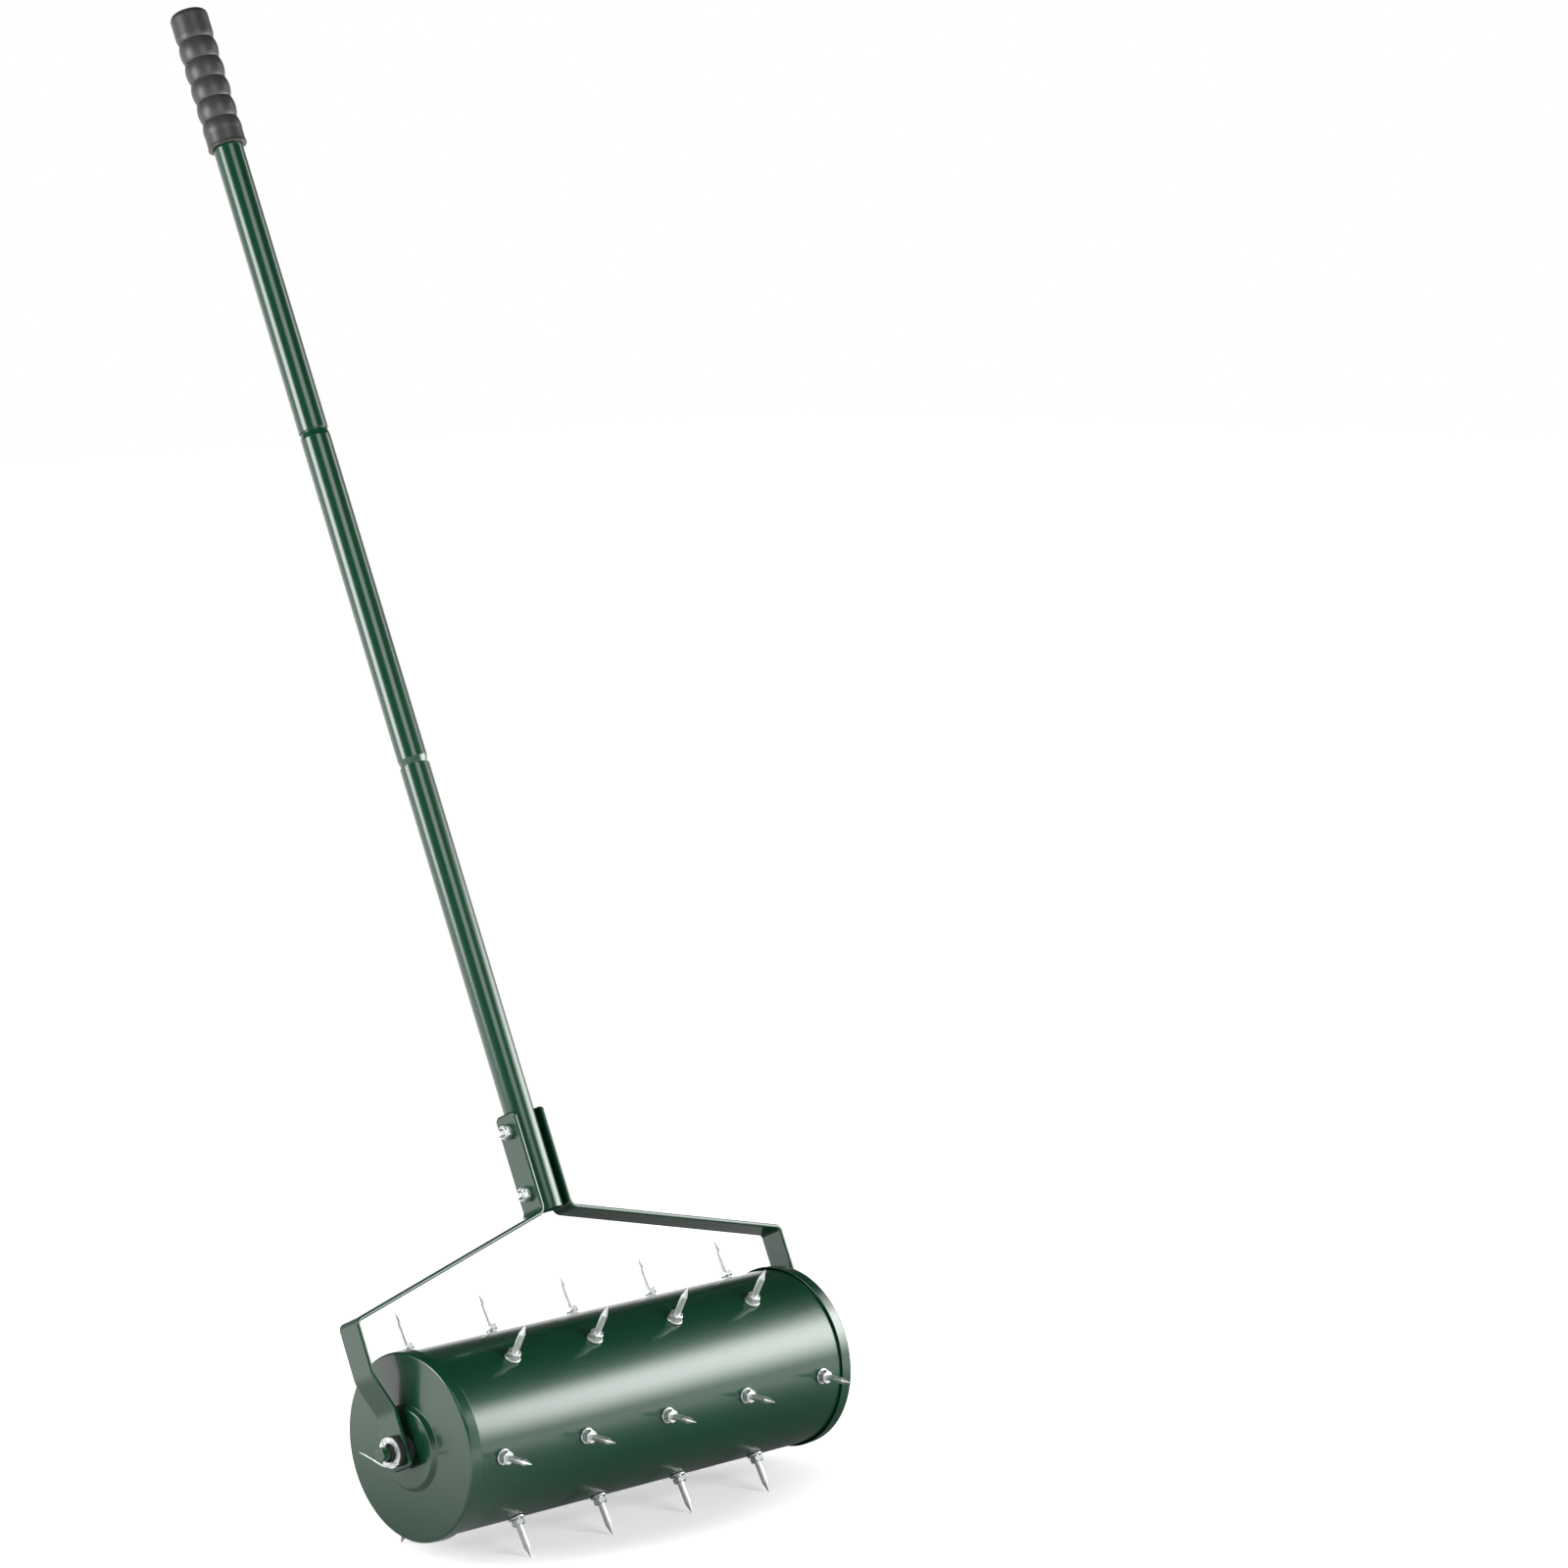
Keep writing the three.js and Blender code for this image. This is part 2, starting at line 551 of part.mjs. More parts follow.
// The grip, from the closed end of its bore round its outside to the middle of its top
function grip() {
  const bore = TUBE_RADIUS + FIT_GAP;
  const boreEnd = GRIP_LENGTH - GRIP_END_WALL;
  const lipRadius = GRIP_RADIUS + GRIP_LIP_STAND;
  const ribsTop = GRIP_LENGTH - GRIP_HEAD_LENGTH;
  const ribsFoot = ribsTop - RIB_COUNT * RIB_PITCH;
  const swell = (share) => Math.sqrt(1 - (2 * share - 1) ** 2);
  const ribs = [];
  for (let rib = 0; rib < RIB_COUNT; rib += 1) {
    for (const share of RIB_SHARES) {
      const radius = GRIP_WAIST_RADIUS + (GRIP_RIB_RADIUS - GRIP_WAIST_RADIUS) * swell(share);
      ribs.push([radius, ribsFoot + (rib + share) * RIB_PITCH]);
    }
  }
  const shoulder = RIB_PITCH * RIB_SHARES[1];
  const head = new THREE.Vector2(GRIP_RADIUS - GRIP_HEAD_ROUND, GRIP_LENGTH - GRIP_HEAD_ROUND);
  const rounded = arcPoints(head, GRIP_HEAD_ROUND, 0, Math.PI / 2, ROUND_STEPS);
  const profile = [
    [0, boreEnd],
    [bore, boreEnd],
    [bore, 0],
    [lipRadius, 0],
    [lipRadius, GRIP_LIP_HEIGHT],
    [GRIP_RADIUS, GRIP_LIP_HEIGHT],
    [GRIP_RADIUS, ribsFoot - shoulder],
    ...ribs,
    [GRIP_WAIST_RADIUS, ribsTop],
    [GRIP_RADIUS, ribsTop + shoulder],
    ...rounded.map((point) => [point.x, point.y]),
    [0, GRIP_LENGTH],
  ];
  return turned(profile, GRIP_SIDES).translate(0, 0, GRIP_FOOT_HEIGHT);
}

// A bracket bolt along X, its head outside the right plate
function bracketBolt() {
  const seat = PLATE_OUTER_FACE + FIT_GAP;
  const nutSide = PLATE_OUTER_FACE + FIT_GAP + NUT_HEIGHT + NUT_COLLAR_HEIGHT + BOLT_END;
  const shank = rod(BOLT_RADIUS, -nutSide, seat + BOLT_HEAD_HEIGHT / 2, BOLT_SIDES);
  return join(shank, hexagonBar(HEXAGON_FLATS, seat, seat + BOLT_HEAD_HEIGHT)).rotateY(Math.PI / 2);
}

// A self-locking nut: a hexagon with a round collar on its outer side
function lockNut() {
  const seat = PLATE_OUTER_FACE + FIT_GAP;
  const top = seat + NUT_HEIGHT + NUT_COLLAR_HEIGHT;
  const hexagon = hexagonBar(HEXAGON_FLATS, seat, seat + NUT_HEIGHT);
  const collar = rod(NUT_COLLAR_DIAMETER / 2, seat + NUT_HEIGHT / 2, top, BOLT_SIDES);
  const bore = rod(BOLT_RADIUS + FIT_GAP, seat - CUT_OVERRUN, top + CUT_OVERRUN, BOLT_SIDES);
  return cut(join(hexagon, collar), [bore]).rotateY(-Math.PI / 2);
}

function drumPieces() {
  const cap = endCap();
  const hubTube = sleeve(HUB_TUBE_BORE, HUB_TUBE_RADIUS, -BOSS_FACE, BOSS_FACE, ROUND_SIDES);
  const hubBush = flangedBush(
    HUB_BUSH_BORE,
    HUB_BUSH_RADIUS,
    HUB_FLANGE_DIAMETER / 2,
    HUB_BUSH_DEPTH,
    HUB_FLANGE_THICKNESS,
    HUB_FLANGE_FACE,
  );
  return [
    mesh('drum_shell', drumShell(), PAINT),
    alongAxle(mesh('end_cap_left', cap, PAINT), -1),
    alongAxle(mesh('end_cap_right', cap, PAINT), 1),
    alongAxle(mesh('hub_tube', hubTube, BARE_STEEL), 1),
    alongAxle(mesh('hub_bush_left', hubBush, NYLON), -1),
    alongAxle(mesh('hub_bush_right', hubBush, NYLON), 1),
    ...spikes(),
  ];
}

// The dark ring outside a leg: a spacer on the leg, and a neck that goes out through the washer
function collarRing() {
  const profile = [
    [WASHER_BORE, SPACER_FOOT],
    [WASHER_RADIUS, SPACER_FOOT],
    [WASHER_RADIUS, SPACER_FACE],
    [COLLAR_RING_RADIUS, SPACER_FACE],
    [COLLAR_RING_RADIUS, COLLAR_RING_FACE],
    [WASHER_BORE, COLLAR_RING_FACE],
    [WASHER_BORE, SPACER_FOOT],
  ];
  return turned(profile, ROUND_SIDES);
}

function axlePieces() {
  const washer = (bore, thickness, outerFace) => (
    sleeve(bore, WASHER_RADIUS, outerFace - thickness, outerFace, ROUND_SIDES)
  );
  const innerWasher = washer(WASHER_BORE, INNER_WASHER_THICKNESS, INNER_WASHER_FACE);
  const outerWasher = washer(OUTER_WASHER_BORE, OUTER_WASHER_THICKNESS, OUTER_WASHER_FACE);
  const ring = collarRing();
  const pin = cotterPin();
  const pieces = [mesh('axle_rod', axleRod(), PAINT)];
  for (const [hand, side] of [['left', -1], ['right', 1]]) {
    const cotter = mesh(`cotter_pin_${hand}`, pin, ZINC);
    cotter.position.x = side * COTTER_PLACE;
    pieces.push(
      alongAxle(mesh(`inner_washer_${hand}`, innerWasher, NYLON), side),
      alongAxle(mesh(`outer_washer_${hand}`, outerWasher, ZINC), side),
      alongAxle(mesh(`collar_ring_${hand}`, ring, NYLON), side),
      cotter,
    );
  }
  return pieces;
}

function framePieces() {
  const upperTube = sleeve(TUBE_BORE, TUBE_RADIUS, UPPER_TUBE_FOOT, TUBE_TOP_HEIGHT, TUBE_SIDES);
  const pieces = [
    mesh('grip', grip(), RUBBER),
    mesh('upper_tube', upperTube, PAINT),
    mesh('middle_tube', middleTube(), PAINT),
    mesh('lower_tube', lowerTube(), PAINT),
    mesh('fork_bar_left', forkBar(-1), PAINT),
    mesh('fork_bar_right', forkBar(1), PAINT),
  ];
  const bolt = bracketBolt();
  const nut = lockNut();
  for (const [name, height] of [['lower', LOWER_BOLT_HEIGHT], ['upper', UPPER_BOLT_HEIGHT]]) {
    const pair = [mesh(`bracket_bolt_${name}`, bolt, ZINC), mesh(`bracket_nut_${name}`, nut, ZINC)];
    pair.forEach((piece) => { piece.position.z = height; });
    pieces.push(...pair);
  }
  return pieces;
}

// The fork and handle lean back about the axle. The whole tool is then set down with the
// middle of its box over the origin and its lowest spikes on height zero.
const frame = new THREE.Group();
frame.rotation.x = -THREE.MathUtils.degToRad(HANDLE_LEAN_DEGREES);
frame.add(...framePieces());

const tool = new THREE.Group();
tool.add(frame, ...drumPieces(), ...axlePieces());
tool.updateMatrixWorld(true);

const box = new THREE.Box3().setFromObject(tool, true);
const middle = box.getCenter(new THREE.Vector3());
tool.position.set(-middle.x, -middle.y, -box.min.z);

const aerator = new THREE.Group();
aerator.add(tool);

export default aerator;
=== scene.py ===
"""Rolling spike aerator: smooth surfaces, finishes, floor, lamps and camera round the CAD frame.

Metres, in the CAD's own frame. The drum turns about the rod's line. The fork and the handle
lean back from it, so their places are given as a height up the handle from the rod, a
distance along X and a distance across the fork's flat bars.
"""

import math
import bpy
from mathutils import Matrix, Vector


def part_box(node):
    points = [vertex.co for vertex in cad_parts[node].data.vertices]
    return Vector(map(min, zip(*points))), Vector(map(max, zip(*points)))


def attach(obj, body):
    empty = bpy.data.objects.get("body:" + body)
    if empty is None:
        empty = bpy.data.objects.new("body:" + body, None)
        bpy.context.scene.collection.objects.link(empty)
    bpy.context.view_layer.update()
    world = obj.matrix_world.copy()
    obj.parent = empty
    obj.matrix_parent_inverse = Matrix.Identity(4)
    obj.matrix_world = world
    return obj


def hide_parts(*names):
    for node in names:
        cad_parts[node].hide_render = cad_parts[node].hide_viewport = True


bl_info = {
    "name": "Rolling spike aerator",
    "version": (1, 0, 0),
    "blender": (4, 5, 0),
    "location": "3D View > Sidebar > Aerator",
    "description": "Builds the tool's surfaces, finishes and studio round its CAD frame",
    "category": "Object",
}

import bmesh
import bpy
import numpy as np
from bpy.props import FloatProperty, FloatVectorProperty, PointerProperty
from mathutils import Matrix, Vector

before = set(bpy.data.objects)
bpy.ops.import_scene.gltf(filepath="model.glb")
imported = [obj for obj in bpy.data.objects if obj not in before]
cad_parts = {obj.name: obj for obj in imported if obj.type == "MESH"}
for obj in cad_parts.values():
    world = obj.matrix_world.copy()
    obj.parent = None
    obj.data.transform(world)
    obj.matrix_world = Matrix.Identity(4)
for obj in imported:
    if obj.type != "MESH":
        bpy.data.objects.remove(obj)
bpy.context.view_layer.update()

MM = 0.001
TAU = 2 * math.pi
QUARTER = TAU / 4
TINY = 1e-9

# The rod's middle, and the directions that the pieces are laid out in
LEAN = math.radians(24)
ROD_LOW, ROD_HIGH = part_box("axle_rod")
HUB = np.array((ROD_LOW + ROD_HIGH) / 2)
UP = np.array((0.0, 0.0, 1.0))
ALONG_ROD = np.array((1.0, 0.0, 0.0))
ACROSS_BAR = np.array((0.0, math.cos(LEAN), -math.sin(LEAN)))
UP_HANDLE = np.array((0.0, math.sin(LEAN), math.cos(LEAN)))
SIDES = {"left": -1, "right": 1}
SPIKE_ROWS = {"a": 4, "b": 5, "c": 4, "d": 5, "e": 4, "f": 5}
GRIP_RIBS = 4

# Points round each kind of turned piece, and the longest steps along two of them
DRUM_SIDES = 180
TUBE_SIDES = 128
ROUND_SIDES = 96
RING_SIDES = 72
BORE_SIDES = 48
SPIKE_SIDES = 40
CROSS_BORE_SIDES = 32
SPIKE_BORE_SIDES = 24
WIRE_SIDES = 16
SHELL_STEP = 6 * MM
TUBE_STEP = 8 * MM

# How far a cutter goes past what it cuts
OVERRUN = 3 * MM


def length(name, description, millimetres):
    """A length property whose default is given in millimetres."""
    return FloatProperty(
        name=name,
        description=description,
        default=millimetres * MM,
        min=0.0,
        unit="LENGTH",
        precision=4,
    )


def colour(name, description, default):
    """A linear colour property."""
    return FloatVectorProperty(
        name=name,
        description=description,
        default=default,
        size=3,
        min=0.0,
        max=1.0,
        subtype="COLOR",
    )


class DrumSizes(bpy.types.PropertyGroup):
    """Sizes of the drum, its caps, its bushes and its spikes."""

    shell_radius: length("Shell radius", "Outside of the rolled shell", 81.8)
    shell_wall: length("Shell wall", "Thickness of the shell's sheet", 1.2)
    shell_gap: length("Shell gap", "From a cap's inner face to the shell's end", 1.8)
    cap_face: length("Cap face", "From the drum's middle to a cap's flat face", 228.5)
    cap_sheet: length("Cap sheet", "Thickness of a cap's sheet", 1.5)
    cap_rim: length("Cap rim", "Depth of the rim that goes over the shell", 12.5)
    cap_flare: length("Cap flare", "How far the rim opens by its end", 0.8)
    cap_edge: length("Cap edge", "Outer radius of the bend between face and rim", 2.4)
    boss_foot: length("Boss foot", "Radius of the raised boss at its foot", 38.5)
    boss_top: length("Boss top", "Radius of the raised boss at its top", 34.8)
    boss_height: length("Boss height", "How far the boss stands out of the cap", 4.0)
    bush_wall: length("Bush wall", "Thickness of a bush round the rod", 2.0)
    bush_depth: length("Bush depth", "How far a bush reaches into the hub tube", 18.0)
    bush_flange: length("Bush flange", "Diameter of a bush's flange", 27.0)
    bush_lip: length("Bush lip", "Thickness of a bush's flange", 2.6)
    hub_wall: length("Hub wall", "Thickness of the hub tube's wall", 1.5)
    fit_gap: length("Fit gap", "Clearance between fitted pieces", 0.3)
    pitch: length("Spike pitch", "Distance between the spikes of a row", 95.8)
    spike_length: length("Spike length", "From the flange's foot to the point", 37.7)
    point_length: length("Point length", "Length of the tapered point", 10.0)
    shank: length("Shank diameter", "Thickness of the spike's shank", 5.8)
    collar_flats: length("Collar flats", "Size of the collar across its flats", 11.0)
    collar_height: length("Collar height", "Height of the hexagon collar", 5.8)
    groove: length("Groove diameter", "Thickness of the neck under the collar", 6.82)
    groove_height: length("Groove height", "From the flange to the collar", 1.1)
    flange: length("Flange diameter", "Diameter of the rivet nut's flange", 14.4)
    flange_height: length("Flange height", "Thickness of the rivet nut's flange", 1.9)
    stud: length("Stud diameter", "Thickness of the rivet nut in the shell", 7.6)
    stud_length: length("Stud length", "How far the rivet nut reaches into the drum", 9.0)


class AxleSizes(bpy.types.PropertyGroup):
    """Sizes of the rod and of what is threaded on it."""

    rod: length("Rod diameter", "Thickness of the axle rod", 12.7)
    rod_end: length("Rod end", "How far the rod reaches past the dark ring", 7.6)
    clearance: length("Clearance", "Gap between the rod and what it runs in", 0.3)
    washer: length("Washer diameter", "Outside of the large washers", 27.4)
    inner_washer: length("Inner washer", "Thickness of the dark inner washers", 3.0)
    outer_washer: length("Outer washer", "Thickness of the bright outer washers", 2.2)
    ring: length("Ring diameter", "Outside of the dark ring's neck", 16.0)
    spacer: length("Spacer", "Thickness of the dark ring's wide part", 5.0)
    neck: length("Ring neck", "From the bright washer to the dark ring's end", 3.2)
    wire: length("Wire", "Thickness of the cotter pin's wire", 1.6)
    eye: length("Eye radius", "Radius of the cotter pin's eye", 2.6)
    eye_stand: length("Eye stand", "Gap between the rod and the cotter pin's eye", 1.2)
    leg_drop: length("Leg drop", "How far under the rod the pin's legs part", 4.2)
    long_leg: length("Long leg", "Reach of the cotter pin's long leg", 34.0)
    long_rise: length("Long rise", "How far the long leg rises by its end", 6.5)
    short_leg: length("Short leg", "Reach of the cotter pin's short leg", 20.0)
    short_rise: length("Short rise", "How far the short leg rises by its end", 5.5)


class ForkSizes(bpy.types.PropertyGroup):
    """Sizes of the two bent bars and of their fasteners."""

    width: length("Bar width", "Width of the flat bar", 28.5)
    thickness: length("Bar thickness", "Thickness of the flat bar", 4.0)
    corner: length("Corner radius", "Rounding of the bar's two ends", 5.0)
    edge: length("Edge radius", "Rounding of the bar's long edges", 1.75)
    top: length("Plate top", "Height of the bracket plate's end", 272.0)
    neck: length("Neck", "Height of the bend under the tube", 176.7)
    shoulder: length("Shoulder", "Height of the bend over the drum's end", 116.7)
    joggle_top: length("Joggle top", "Height of the leg's upper joggle bend", 66.0)
    joggle_foot: length("Joggle foot", "Height of the leg's lower joggle bend", 34.0)
    joggle_offset: length("Joggle offset", "How far the joggle brings the leg in", 12.4)
    tail: length("Tail", "How far the leg reaches below the rod", 17.0)
    neck_bend: length("Neck bend", "Radius of the bend under the tube", 8.0)
    shoulder_bend: length("Shoulder bend", "Radius of the shoulder's bend", 5.0)
    joggle_bend: length("Joggle bend", "Radius of the joggle's bends", 22.0)
    bolt: length("Bolt diameter", "Thickness of the bracket bolts", 8.0)
    bolt_end: length("Bolt end", "How far a bolt reaches past its nut", 4.0)
    thread_pitch: length("Thread pitch", "Distance between the thread's crests", 1.25)
    thread_depth: length("Thread depth", "Depth of the thread's grooves", 0.35)
    flats: length("Hexagon flats", "Size of heads and nuts across their flats", 13.0)
    head: length("Head height", "Height of a bolt's head", 5.3)
    nut: length("Nut height", "Height of a nut's hexagon", 6.2)
    nut_collar: length("Nut collar", "Diameter of the nut's round collar", 11.6)
    collar_height: length("Nut collar height", "Height of the nut's collar", 1.8)
    lower_bolt: length("Lower bolt", "Height of the lower bolt", 197.0)
    upper_bolt: length("Upper bolt", "Height of the upper bolt", 256.0)


class HandleSizes(bpy.types.PropertyGroup):
    """Sizes of the three tubes and the grip."""

    tube: length("Tube diameter", "Outside of the handle tubes", 28.6)
    wall: length("Tube wall", "Thickness of the tubes' wall", 1.2)
    foot: length("Tube foot", "Height of the handle's open foot", 178.5)
    section: length("Section", "Length of the lower and the middle tube", 429.0)
    upper_section: length("Upper section", "Length of the upper tube", 423.5)
    spigot: length("Spigot", "How far a swaged end goes into its neighbour", 48.0)
    reveal: length("Spigot reveal", "How much of a spigot shows at a joint", 1.0)
    swage: length("Swage", "Length of the taper above or below a spigot", 6.0)
    grip_length: length("Grip length", "Overall length of the rubber sleeve", 139.5)
    grip_radius: length("Grip radius", "Radius of the sleeve's head and foot", 18.2)
    grip_rib: length("Grip rib", "Radius of the sleeve over its ribs", 18.6)
    grip_waist: length("Grip waist", "Radius in the grooves between the ribs", 16.3)
    grip_head: length("Grip head", "From the sleeve's top to its first groove", 30.0)
    grip_end: length("Grip end", "Thickness of the sleeve's closed top", 5.0)
    grip_round: length("Grip round", "Rounding of the sleeve's top edge", 6.0)
    rib_pitch: length("Rib pitch", "Distance between the grip's ribs", 20.4)


class Finishes(bpy.types.PropertyGroup):
    """Colours of the tool's finishes."""

    green: colour("Powder coat", "Gloss green coat of the steel", (0.004, 0.055, 0.024))
    zinc: colour("Zinc", "Bright zinc plate", (0.7, 0.82, 0.75))
    rubber: colour("Rubber", "Black rubber of the grip", (0.014, 0.017, 0.0145))
    nylon: colour("Nylon", "Dark bushes and rings", (0.015, 0.017, 0.016))
    floor: colour("Floor", "Pale studio floor", (0.38, 0.38, 0.38))


def all_sizes(context):
    """The sizes of the drum, of the axle, of the fork and of the handle."""
    scene = context.scene
    return scene.drum_sizes, scene.axle_sizes, scene.fork_sizes, scene.handle_sizes


# ---------------------------------------------------------------- surfaces


def arc(centre, radius, start, end, steps):
    """Points of an arc: the centre plus the radius times (cos, sin) of evenly stepped angles."""
    angles = np.linspace(start, end, steps + 1)
    return np.array(centre) + radius * np.stack((np.cos(angles), np.sin(angles)), 1)


def rounded(points, radii, steps, loop=False):
    """A polyline whose corners are replaced by arcs.

    At each corner the arc touches both sides, at its radius divided by the tangent of half
    the angle between them.
    """
    points = np.asarray(points, float)
    count = len(points)
    out = []
    for i in range(count):
        radius = radii[i]
        ends = not loop and i in (0, count - 1)
        if ends or radius <= 0:
            out.append(points[i][None])
            continue
        back = points[i - 1] - points[i]
        ahead = points[(i + 1) % count] - points[i]
        back /= np.linalg.norm(back)
        ahead /= np.linalg.norm(ahead)
        half = math.acos(float(np.clip(back @ ahead, -1, 1))) / 2
        middle = (back + ahead) / np.linalg.norm(back + ahead)
        centre = points[i] + middle * radius / math.sin(half)
        first = points[i] + back * radius / math.tan(half) - centre
        last = points[i] + ahead * radius / math.tan(half) - centre
        start = math.atan2(first[1], first[0])
        sweep = math.atan2(first[0] * last[1] - first[1] * last[0], float(first @ last))
        out.append(arc(centre, radius, start, start + sweep, steps))
    return np.concatenate(out)


def ring_profile(bore, radius, low, high, soft):
    """The closed outline of a ring with softened edges, as (radius, height)."""
    corners = [(bore, low), (radius, low), (radius, high), (bore, high)]
    return rounded(corners, [soft] * 4, 3, loop=True)


def shoulder_profile(bore, radii, heights, soft):
    """The closed outline of a ring with one radius up to a step and another above it."""
    (first, second), (low, step, high) = radii, heights
    corners = [(bore, low), (first, low), (first, step), (second, step), (second, high)]
    return rounded([*corners, (bore, high)], soft, 3, loop=True)


def stepped(profile, most):
    """A closed profile whose straight runs are split into equal steps of at most this length."""
    steps = []
    for here, ahead in zip(profile, np.roll(profile, -1, axis=0)):
        count = math.ceil(np.linalg.norm(ahead - here) / most)
        share = np.arange(count)[:, None] / count
        steps.append(here + (ahead - here) * share)
    return np.concatenate(steps)


def columns(radius, height):
    """Radii and heights side by side, where either may be a single number."""
    return np.stack(np.broadcast_arrays(radius, height), 1)


def grid_faces(rows, across, close_rows):
    """Quads that join each point of a stack of closed rings to its neighbours.

    The last ring can be joined to the first too.
    """
    row = np.arange(rows if close_rows else rows - 1)[:, None]
    column = np.arange(across)[None, :]
    next_row = (row + 1) % rows
    next_column = (column + 1) % across
    quads = (
        row * across + column,
        next_row * across + column,
        next_row * across + next_column,
        row * across + next_column,
    )
    return np.stack(quads, -1).reshape(-1, 4)


def lofted(rings):
    """A closed skin over a stack of closed rings, with a flat face over each end ring."""
    rings = np.asarray(rings, float)
    rows, across = rings.shape[:2]
    faces = grid_faces(rows, across, False).tolist()
    faces.append(list(range(across))[::-1])
    faces.append(list(range((rows - 1) * across, rows * across)))
    return rings.reshape(-1, 3), faces


def spun(profile, sides):
    """The rings of a profile of (radius, height) spun about Z.

    Point (i, j) is (r_i cos a_j, r_i sin a_j, z_i).
    """
    profile = np.asarray(profile, float)
    angle = TAU * np.arange(sides) / sides
    ring = np.stack((np.cos(angle), np.sin(angle)), 1)[None] * profile[:, :1, None]
    height = np.broadcast_to(profile[:, None, 1:], (*ring.shape[:2], 1))
    return np.concatenate((ring, height), 2)


def turned(profile, sides):
    """A closed skin from a profile of (radius, height) turned about Z.

    A profile that starts and ends on the axis closes there in a point, and any other is a
    closed loop.
    """
    profile = np.asarray(profile, float)
    if abs(profile[0, 0]) > TINY or abs(profile[-1, 0]) > TINY:
        rings = spun(profile, sides)
        return rings.reshape(-1, 3), grid_faces(len(rings), sides, True).tolist()
    rings = spun(profile[1:-1], sides)
    rows = len(rings)
    faces = grid_faces(rows, sides, False).tolist()
    here = np.arange(sides)
    there = (here + 1) % sides
    low, high = rows * sides, rows * sides + 1
    last = (rows - 1) * sides
    faces += np.stack((np.full(sides, low), here, there), 1).tolist()
    faces += np.stack((np.full(sides, high), last + there, last + here), 1).tolist()
    ends = [[0, 0, profile[0, 1]], [0, 0, profile[-1, 1]]]
    return np.concatenate((rings.reshape(-1, 3), ends)), faces


def cylinder(radius, low, high, sides=BORE_SIDES, soft=(0, 0), steps=4):
    """A solid cylinder about Z, its lower and upper edge rounded by the soft radii."""
    corners = [(0, low), (radius, low), (radius, high), (0, high)]
    return turned(rounded(corners, [0, *soft, 0], steps), sides)


def hexagon(flats, heights, chamfer, sides=ROUND_SIDES, start=0.96):
    """A hexagon block about Z with chamfered ends.

    The radius at each angle is that of the hexagon, or that of a cone that takes off the
    corners near the ends, whichever is less. The cone starts from a circle whose diameter
    is the start's share of the size across the flats.
    """
    low, high = heights
    angle = TAU * np.arange(sides) / sides
    flat = flats / 2 / np.cos(np.mod(angle, TAU / 6) - TAU / 12)
    corner = flats / math.sqrt(3)
    inner = flats / 2 * start
    fall = np.linspace(1, 0, 5)
    cone = inner + (corner - inner) * (1 - fall)
    height = np.concatenate((low + chamfer * (1 - fall), high - chamfer * (1 - fall[::-1])))
    radius = np.minimum(flat[None], np.concatenate((cone, cone[::-1]))[:, None])
    height = np.broadcast_to(height[:, None], radius.shape)
    return lofted(np.stack((radius * np.cos(angle), radius * np.sin(angle), height), 2))


def threaded(radius, low, high, pitch, depth, sides=BORE_SIDES, per_turn=10):
    """A threaded rod about Z.

    The radius at angle a and height z is the rod's, less the thread's depth times how far
    z over the pitch, less a over a full turn, is from the nearest crest. Over the last 0.9
    of a pitch it falls by another 1.2 times the depth.
    """
    angle = TAU * np.arange(sides) / sides
    height = np.linspace(low, high, int((high - low) / pitch * per_turn))
    phase = np.mod(height[:, None] / pitch - angle[None] / TAU, 1)
    wave = np.abs(2 * phase - 1)
    ease = np.clip((high - height) / (pitch * 0.9), 0, 1)[:, None]
    r = radius - depth * wave - depth * 1.2 * (1 - ease)
    height = np.broadcast_to(height[:, None], r.shape)
    return lofted(np.stack((r * np.cos(angle), r * np.sin(angle), height), 2))


def placed(part, origin, z_axis, x_axis=ALONG_ROD):
    """Moves a part made about Z so that its Z runs along z_axis, a unit vector, from the origin.

    Its X points as near to x_axis as it can.
    """
    verts, faces = part
    x = x_axis - z_axis * (x_axis @ z_axis)
    x /= np.linalg.norm(x)
    y = np.cross(z_axis, x)
    return origin + verts @ np.stack((x, y, z_axis)), faces


def on_rod(part, side):
    """Lays a part made about Z along the rod, its +Z pointing out on that side."""
    return placed(part, HUB, side * ALONG_ROD, UP)


def on_handle(part):
    """Lays a part made about Z along the handle, its height zero at the rod."""
    return placed(part, HUB, UP_HANDLE, ALONG_ROD)


def joined(*parts):
    """Several closed skins as one list of points and faces."""
    verts, faces, start = [], [], 0
    for points, polygons in parts:
        verts.append(points)
        faces += [[start + i for i in polygon] for polygon in polygons]
        start += len(points)
    return np.concatenate(verts), faces


# ---------------------------------------------------------------- objects


def linked(name, data):
    """An object for the data, linked to the scene, at the origin."""
    obj = bpy.data.objects.new(name, data)
    bpy.context.scene.collection.objects.link(obj)
    return obj


def new_mesh(name, part):
    """A mesh object from points and faces, with every closed skin facing out."""
    verts, faces = part
    mesh = bpy.data.meshes.new(name)
    mesh.from_pydata(verts.tolist(), [], faces)
    mesh.validate()
    work = bmesh.new()
    work.from_mesh(mesh)
    bmesh.ops.recalc_face_normals(work, faces=work.faces)
    work.to_mesh(mesh)
    work.free()
    return linked(name, mesh)


